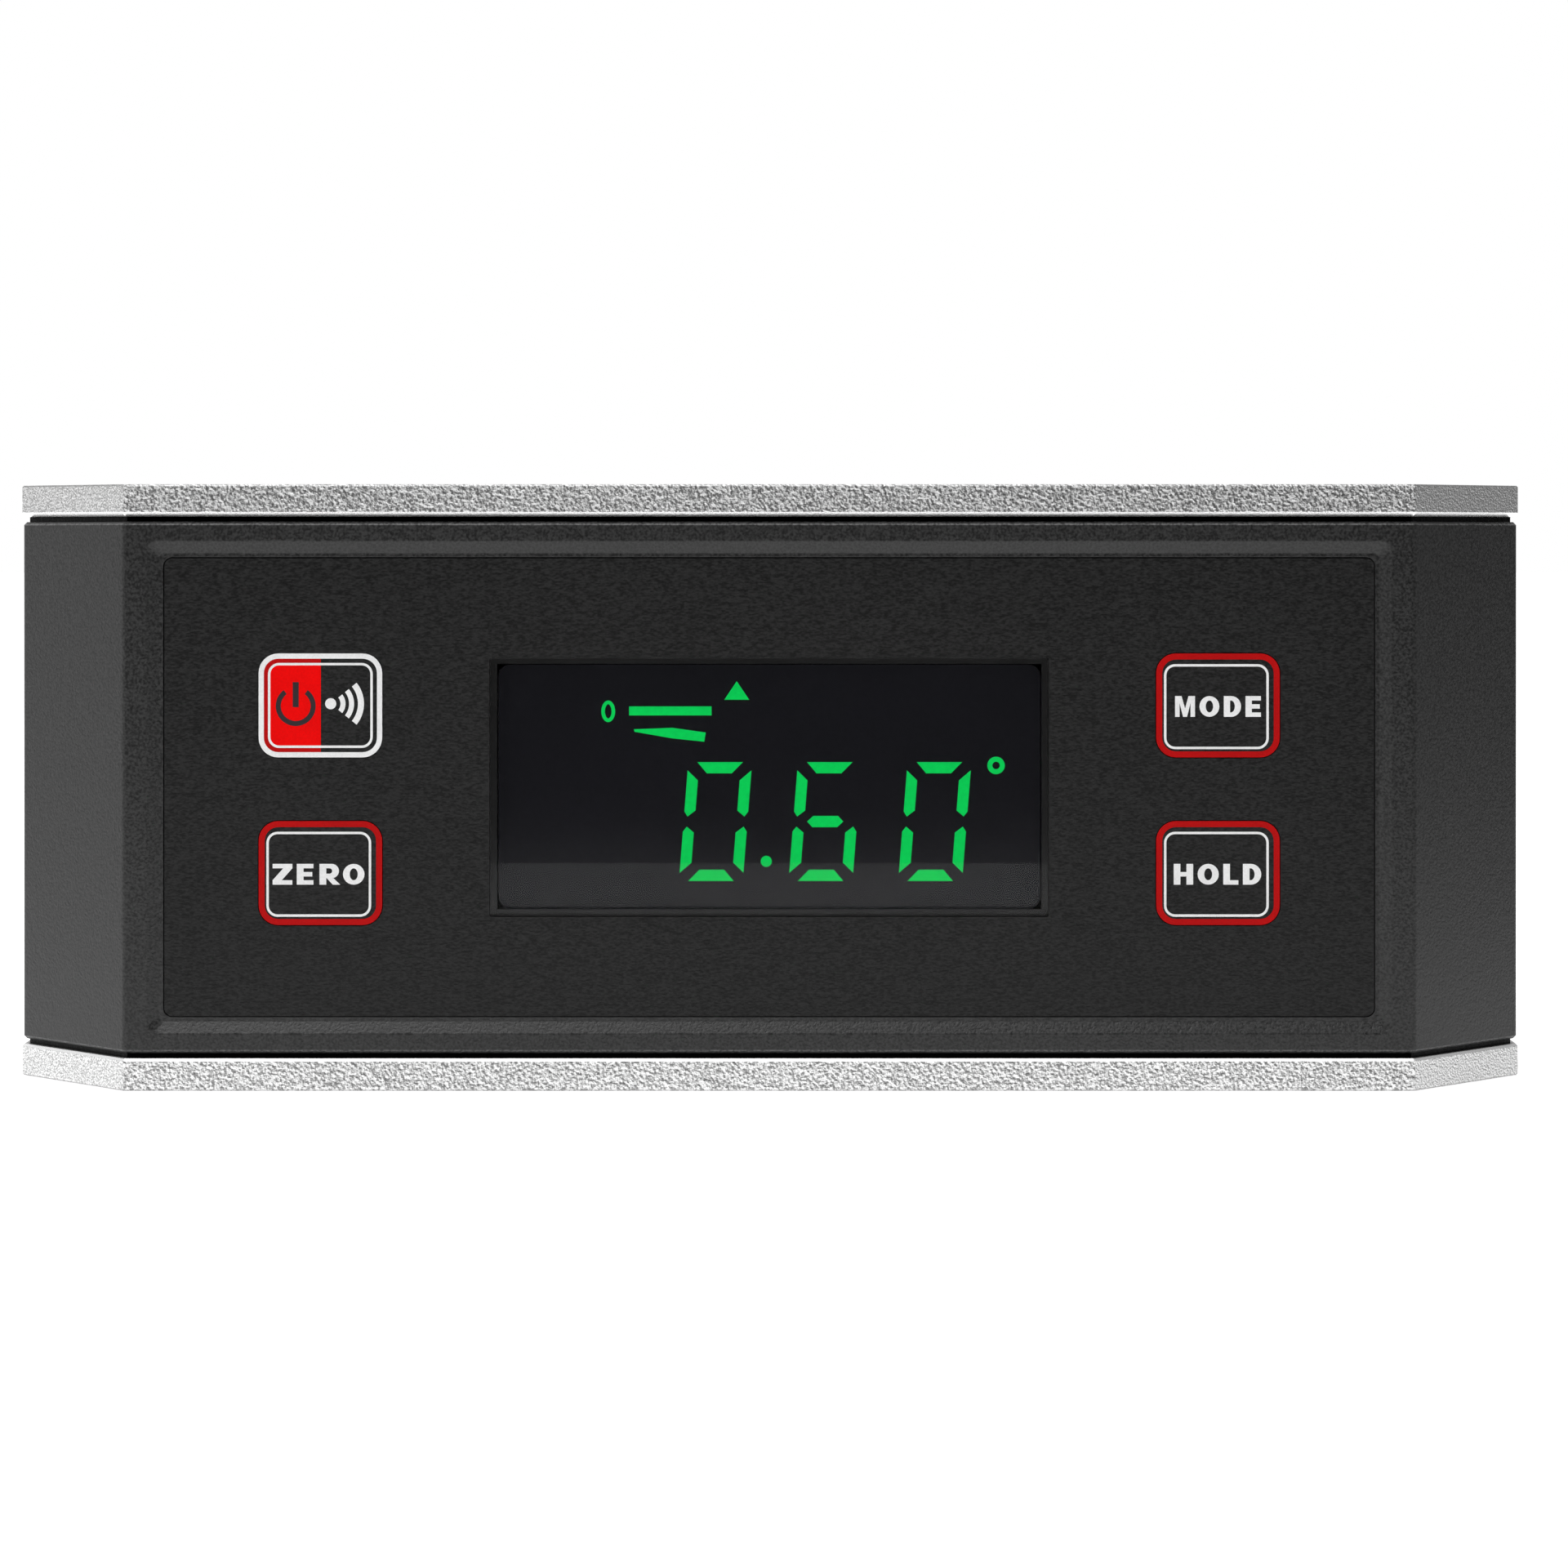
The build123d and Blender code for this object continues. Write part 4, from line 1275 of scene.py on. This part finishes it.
@dataclass
class Display:
    """Window, dark cell and the figures that it shows."""

    figure_rise: float = 0.05
    figure_bite: float = 0.02
    border_rise: float = 0.03
    border_bite: float = -0.01
    border_line: float = 0.62
    numbers: tuple[int, ...] = (0, 6, 0)
    first_centre: Point = (-5.36, -3.56)
    pitch: float = 10.92
    point_place: Point = (-0.31, -7.52)
    point_radius: float = 0.55
    degree_place: Point = (22.58, 2.03)
    degree_radius: float = 0.87
    degree_line: float = 0.5
    pointer_place: Point = (-3.25, 8.57)
    pointer_half: float = 1.24
    pointer_height: float = 1.85
    reference_place: Point = (-16.05, 7.42)
    reference_radius: float = 0.69
    reference_stretch: float = 1.56
    reference_line: float = 0.36
    level_bar: Edges = (-13.97, -5.76, 7.01, 7.91)
    tilt_bar: tuple[Point, ...] = ((-13.5, 5.63), (-9.68, 5.78), (-6.34, 5.31), (-6.48, 4.39), (-9.7, 4.73),
                                   (-13.42, 5.38))

    def build(self) -> None:
        """Dress the window and its stack and light the figures."""
        dress(WINDOW, "window_lens")
        dress(CELL_GLASS, "display_cell")
        dress(GUIDE, "light_guide")
        dress(RUBBER, "zebra_strip_top", "zebra_strip_bottom")
        dress(FRAME_PLASTIC, "display_frame")
        low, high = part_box("display_cell")
        front = Vector((0, low.y, (low.z + high.z) / 2))
        face = Face(front, "root", "display_glass", self.figure_rise, self.figure_bite)
        self.digits(face)
        self.marks(face)
        self.border()

    def border(self) -> None:
        """Print a border on the back of the window."""
        low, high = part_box("window_lens")
        wide, tall = (high.x - low.x) / MM, (high.z - low.z) / MM
        centre = Vector(((low.x + high.x) / 2, high.y, (low.z + high.z) / 2))
        back = Face(centre, "root", "display_glass", self.border_rise, self.border_bite)
        back.stand(DRAW.hollow(DRAW.plate("window_border", wide, tall), self.border_line), WINDOW_BORDER)

    def digits(self, face: Face) -> None:
        """Stand the digits, the point and the degree ring on the cell.

        Args:
            face: front of the cell.
        """
        digit = Digit()
        for index, number in enumerate(self.numbers):
            across = self.first_centre[0] + index * self.pitch
            for name, points in digit.segments(number).items():
                placed = [(x + across, z + self.first_centre[1]) for x, z in points]
                face.stand(DRAW.outline(f"figure_{index + 1}_{name}", placed), FIGURES)
        face.stand(DRAW.disc("figure_point", self.point_radius, self.point_place), FIGURES)
        ring = DRAW.disc("figure_degree", self.degree_radius, self.degree_place)
        face.stand(DRAW.hollow(ring, self.degree_line), FIGURES)

    def marks(self, face: Face) -> None:
        """Stand the pointer, the reference mark and the two bars on the cell.

        Args:
            face: front of the cell.
        """
        x, z = self.pointer_place
        pointer = [(x, z + self.pointer_height), (x - self.pointer_half, z), (x + self.pointer_half, z)]
        face.stand(DRAW.outline("pointer_mark", pointer), FIGURES)
        oval = DRAW.disc("reference_mark", self.reference_radius, self.reference_place,
                         self.reference_stretch)
        face.stand(DRAW.hollow(oval, self.reference_line), FIGURES)
        face.stand(DRAW.bar("level_bar", self.level_bar), FIGURES)
        face.stand(DRAW.outline("tilt_bar", self.tilt_bar), FIGURES)


@dataclass(frozen=True)
class KeyFrame:
    """Frame with rounded corners that is printed on a key."""

    width: float
    height: float
    radius: float
    line: float
    place: Point = (0.0, 0.0)

    def drawn(self, name: str) -> Piece:
        """Draw the frame."""
        return DRAW.hollow(DRAW.plate(name, self.width, self.height, self.radius, self.place), self.line)

    def inside(self, name: str) -> Piece:
        """Draw the field that the frame encloses."""
        edge = 2 * self.line
        return DRAW.plate(name, self.width - edge, self.height - edge, self.radius - self.line, self.place)


@dataclass
class Keypad:
    """The four keys and what is printed on them."""

    border: KeyFrame = KeyFrame(12.24, 10.3, 1.95, 0.6)
    frame: KeyFrame = KeyFrame(10.38, 8.42, 1.1, 0.24, (-0.16, -0.12))
    words: tuple[tuple[str, str, float, Point], ...] = (
        ("zero", "ZERO", 9.1, (-0.18, -0.12)),
        ("mode", "MODE", 8.5, (0.0, -0.1)),
        ("hold", "HOLD", 8.67, (-0.05, -0.12)),
    )
    print_rise: float = 0.02
    print_bite: float = 0.03
    power_border_line: float = 0.52
    split: float = 0.05
    frame_level: float = 0.01
    symbol_level: float = 0.02
    power_place: Point = (-2.44, -0.06)
    power_radius: float = 1.73
    power_stroke: float = 0.5
    power_gap: float = 37.0
    power_bar: Edges = (-2.74, -2.14, -0.17, 2.31)
    sound_place: Point = (1.02, 0.17)
    sound_dot: float = 0.55
    sound_arcs: tuple[Point, ...] = ((1.22, 0.5), (2.07, 0.5), (3.0, 0.6))
    sound_half_angle: float = 39.0

    def build(self) -> None:
        """Dress the keys and print on them."""
        for key, word, width, place in self.words:
            face = self.key_face(key)
            face.stand(self.border.drawn(f"{key}_key_border"), RED_INK)
            face.stand(self.frame.drawn(f"{key}_key_frame"), WHITE_INK)
            face.stand(LETTERS.word(f"{key}_key_word", word, width, place), WHITE_INK)
        self.power_key(self.key_face("power"))

    def key_face(self, key: str) -> Face:
        """Dress a key, its switch and its stem, and give the key's face.

        Args:
            key: the key's name.

        Returns:
            Its printed face.
        """
        dress(LABEL, f"{key}_key_cap")
        dress(CAN, f"{key}_switch")
        dress(STEM, f"{key}_switch_stem")
        low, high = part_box(f"{key}_key_cap")
        centre = Vector(((low.x + high.x) / 2, low.y, (low.z + high.z) / 2))
        return Face(centre, f"{key}_key", "printed_label", self.print_rise, self.print_bite)

    def left_half(self, piece: Piece) -> Piece:
        """Cut a flat shape at the split and keep its left side.

        Args:
            piece: the flat shape.

        Returns:
            The rest of the shape.
        """
        with editing(piece):
            bpy.ops.mesh.bisect(plane_co=(self.split * MM, 0, 0), plane_no=(1, 0, 0), clear_outer=True,
                                clear_inner=False)
        return piece

    def power_key(self, face: Face) -> None:
        """Print the power key: red on its left half, with the power and the sound symbol.

        Args:
            face: the key's face.
        """
        border = replace(self.border, line=self.power_border_line)
        frame_line = replace(self.frame, place=(0.0, 0.0))
        face.stand(border.drawn("power_key_border"), WHITE_INK)
        face.stand(self.left_half(border.inside("power_key_red_ring")), RED_INK)
        face.stand(frame_line.drawn("power_key_frame"), WHITE_INK, self.frame_level)
        red = self.left_half(frame_line.inside("power_key_red_field"))
        face.stand(red, BRIGHT_RED_INK, self.frame_level)
        self.power_symbol(face)
        self.sound_symbol(face)

    def power_symbol(self, face: Face) -> None:
        """Print the open ring with its bar.

        Args:
            face: the key's face.
        """
        start, sweep = 90 + self.power_gap, 360 - 2 * self.power_gap
        ring = DRAW.arc("power_symbol_ring", self.power_radius, self.power_stroke, start, sweep,
                        self.power_place)
        face.stand(ring, DARK_INK, self.symbol_level)
        face.stand(DRAW.bar("power_symbol_bar", self.power_bar), DARK_INK, self.symbol_level)

    def sound_symbol(self, face: Face) -> None:
        """Print the dot and its three arcs.

        Args:
            face: the key's face.
        """
        face.stand(DRAW.disc("sound_symbol_dot", self.sound_dot, self.sound_place), WHITE_INK)
        half = self.sound_half_angle
        for index, (radius, line) in enumerate(self.sound_arcs, start=1):
            arc = DRAW.arc(f"sound_symbol_arc_{index}", radius, line, -half, 2 * half, self.sound_place)
            face.stand(arc, WHITE_INK)


@dataclass
class BatteryBay:
    """Two batteries and their contacts."""

    batteries: tuple[tuple[str, float], ...] = (("upper_battery", 1.0), ("lower_battery", -1.0))
    contacts: tuple[str, ...] = ("battery_positive_contact", "battery_negative_contact",
                                 "battery_bridge_contact")

    def build(self) -> None:
        """Give the batteries their sleeves and the contacts their plating."""
        for name, side in self.batteries:
            sleeve = CellSleeve(f"{name}_sleeve", screen(48, 84, 124), 0.3, node=name, positive_side=side,
                                grain_size=0.4, grain_depth=0.003)
            dress(sleeve, name)
        dress(SPRING_PLATING, *self.contacts)


@dataclass
class Electronics:
    """Circuit board and the parts on it."""

    moulded: tuple[str, ...] = ("processor_chip", "buzzer")
    pressed: tuple[str, ...] = ("tilt_sensor", "clock_crystal")

    def build(self) -> None:
        """Dress the board and its parts."""
        dress(LAMINATE, "main_board")
        dress(RESIN, *self.moulded)
        dress(CAN, *self.pressed)


@dataclass
class Fastenings:
    """Screws and the magnets of the measuring face."""

    screws: tuple[str, ...] = ("top_plate_screws", "base_plate_screws", "case_screws", "board_screws")
    magnets: tuple[str, ...] = ("left_magnet", "right_magnet")

    def build(self) -> None:
        """Dress the screws and the magnets."""
        dress(SCREW, *self.screws)
        dress(MAGNET, *self.magnets)


@dataclass(frozen=True)
class SoftLamp:
    """One soft square lamp, aimed at the middle of the level."""

    name: str
    place: Place
    size: float
    power: float

    def build(self) -> None:
        """Hang the lamp and turn it to the level."""
        lamp = bpy.data.lights.new(self.name, "AREA")
        lamp.size = self.size
        lamp.energy = self.power
        holder = bpy.data.objects.new(self.name, lamp)
        bpy.context.scene.collection.objects.link(holder)
        holder.location = self.place
        aim = (cad_low + cad_high) / 2 - Vector(self.place)
        holder.rotation_euler = aim.to_track_quat("-Z", "Y").to_euler()
        holder.visible_transmission = False


@dataclass
class Studio:
    """White floor, white surroundings and soft lamps."""

    floor_front: float = -0.298
    floor_back: float = 6.0
    floor_side: float = 4.0
    floor_drop: float = 0.0001
    floor_glow: float = 0.62
    paper_patch: float = 0.05
    paper_tones: Point = (0.88, 0.92)
    paper_roughness: float = 0.9
    paper_specular: float = 0.1
    left_fade: Point = (-0.35, -0.05)
    left_floor: float = 0.7
    side_fade: Point = (0.05, 0.4)
    side_share: float = 0.15
    front_fade: Point = (-0.2, -0.06)
    front_share: float = 0.72
    sky: float = 0.85
    room_front: float = 0.025
    room_fade: Point = (-0.75, 0.35)
    left_share: float = 0.15
    up_share: float = 0.7
    right_fade: Point = (0.1, 0.85)
    right_share: float = 0.3
    lamps: tuple[SoftLamp, ...] = (
        SoftLamp("key_lamp", (-0.35, -0.85, 1.05), 0.7, 7.8),
        SoftLamp("side_lamp", (-0.95, -0.65, 0.3), 0.6, 0.6),
        SoftLamp("top_lamp", (-0.1, 0.0, 1.2), 0.9, 5.0),
    )

    def build(self) -> None:
        """Lay the floor, light the surroundings and hang the lamps."""
        self.floor()
        self.surroundings()
        for lamp in self.lamps:
            lamp.build()

    def floor(self) -> None:
        """Lay a white floor that keeps the level's shadow."""
        depth = self.floor_back - self.floor_front
        middle = self.floor_front + depth / 2
        bpy.ops.mesh.primitive_plane_add(size=1, location=(0, middle, -self.floor_drop))
        floor = named("studio_floor")
        floor.scale = (2 * self.floor_side, depth, 1)
        settle(floor)
        floor.data.materials.append(self.paper())

    def paper(self) -> bpy.types.Material:
        """Build the floor's white, which glows for the camera and is dimmer in the level's mirrors.

        Returns:
            The material.
        """
        material = bpy.data.materials.new("studio_white")
        bench = MaterialBench(emptied(material))
        path = bench.node("LightPath").outputs
        across, along, _ = bench.axes(bench.place)
        right = bench.ramp(across, self.side_fade, (1.0, self.side_share))
        side = bench.times(right, bench.ramp(across, self.left_fade, (self.left_floor, 1.0)))
        mirrored = bench.times(side, bench.ramp(along, self.front_fade, (self.front_share, 1.0)))
        kept = bench.mix(path["Is Glossy Ray"], WHITE, mirrored)
        tone = bench.ramp(bench.noise(bench.place, self.paper_patch), NOISE_SPAN, self.paper_tones)
        shown = bench.math("MAXIMUM", path["Is Camera Ray"], path["Is Glossy Ray"])
        shown = bench.math("MAXIMUM", shown, path["Is Transmission Ray"])
        glow = bench.times(shown, self.floor_glow)
        bench.give(Base_Color=bench.times(tone, kept), Roughness=self.paper_roughness,
                   Specular_IOR_Level=self.paper_specular, Emission_Color=WHITE,
                   Emission_Strength=bench.times(glow, kept))
        bench.end("Material", bench.shader)
        return material

    def surroundings(self) -> None:
        """Light the world: white to the camera, dim in front of the level and pale elsewhere."""
        world = bpy.data.worlds.new("studio_world")
        bpy.context.scene.world = world
        bench = NodeBench(emptied(world))
        across, along, up = bench.axes(bench.node("TexCoord").outputs["Generated"])
        turned = bench.math("MULTIPLY_ADD", across, self.left_share, along)
        turned = bench.math("MULTIPLY_ADD", up, self.up_share, turned)
        behind = bench.ramp(turned, self.room_fade, (self.room_front, self.sky))
        behind = bench.times(behind, bench.ramp(across, self.right_fade, (1.0, self.right_share)))
        seen = bench.node("LightPath").outputs["Is Camera Ray"]
        background = bench.node("Background")
        bench.feed(background.inputs["Color"], WHITE)
        bench.feed(background.inputs["Strength"], bench.math("MAXIMUM", seen, behind))
        bench.end("World", background)


@dataclass
class PhotoCamera:
    """Camera at the photograph's viewing angle: level, straight on and as high as the top plate."""

    place: Place = (0.0033, -0.421, 0.0547)
    lens: float = 94.5
    sensor: float = 36.0
    shift: Point = (-0.0118, -0.157)
    clip: Point = (0.01, 50.0)

    def build(self) -> None:
        """Set up the camera and make it the scene's own."""
        camera = bpy.data.cameras.new("photo_camera")
        camera.lens = self.lens
        camera.sensor_width = self.sensor
        camera.shift_x, camera.shift_y = self.shift
        camera.clip_start, camera.clip_end = self.clip
        holder = bpy.data.objects.new("photo_camera", camera)
        bpy.context.scene.collection.objects.link(holder)
        holder.location = self.place
        holder.rotation_euler = (math.pi / 2, 0, 0)
        bpy.context.scene.camera = holder


def main() -> None:
    """Build the object's pieces, the studio and the camera in order."""
    logging.basicConfig(level=logging.INFO, format="%(name)s: %(message)s")
    bpy.context.scene.view_settings.view_transform = "Standard"
    parts = (PhotoCamera(), Studio(), Plates(), Housing(), Display(), Keypad(), BatteryBay(), Electronics(),
             Fastenings())
    for part in parts:
        part.build()
        LOG.info("built %s", type(part).__name__)


if __name__ == "__main__":
    main()
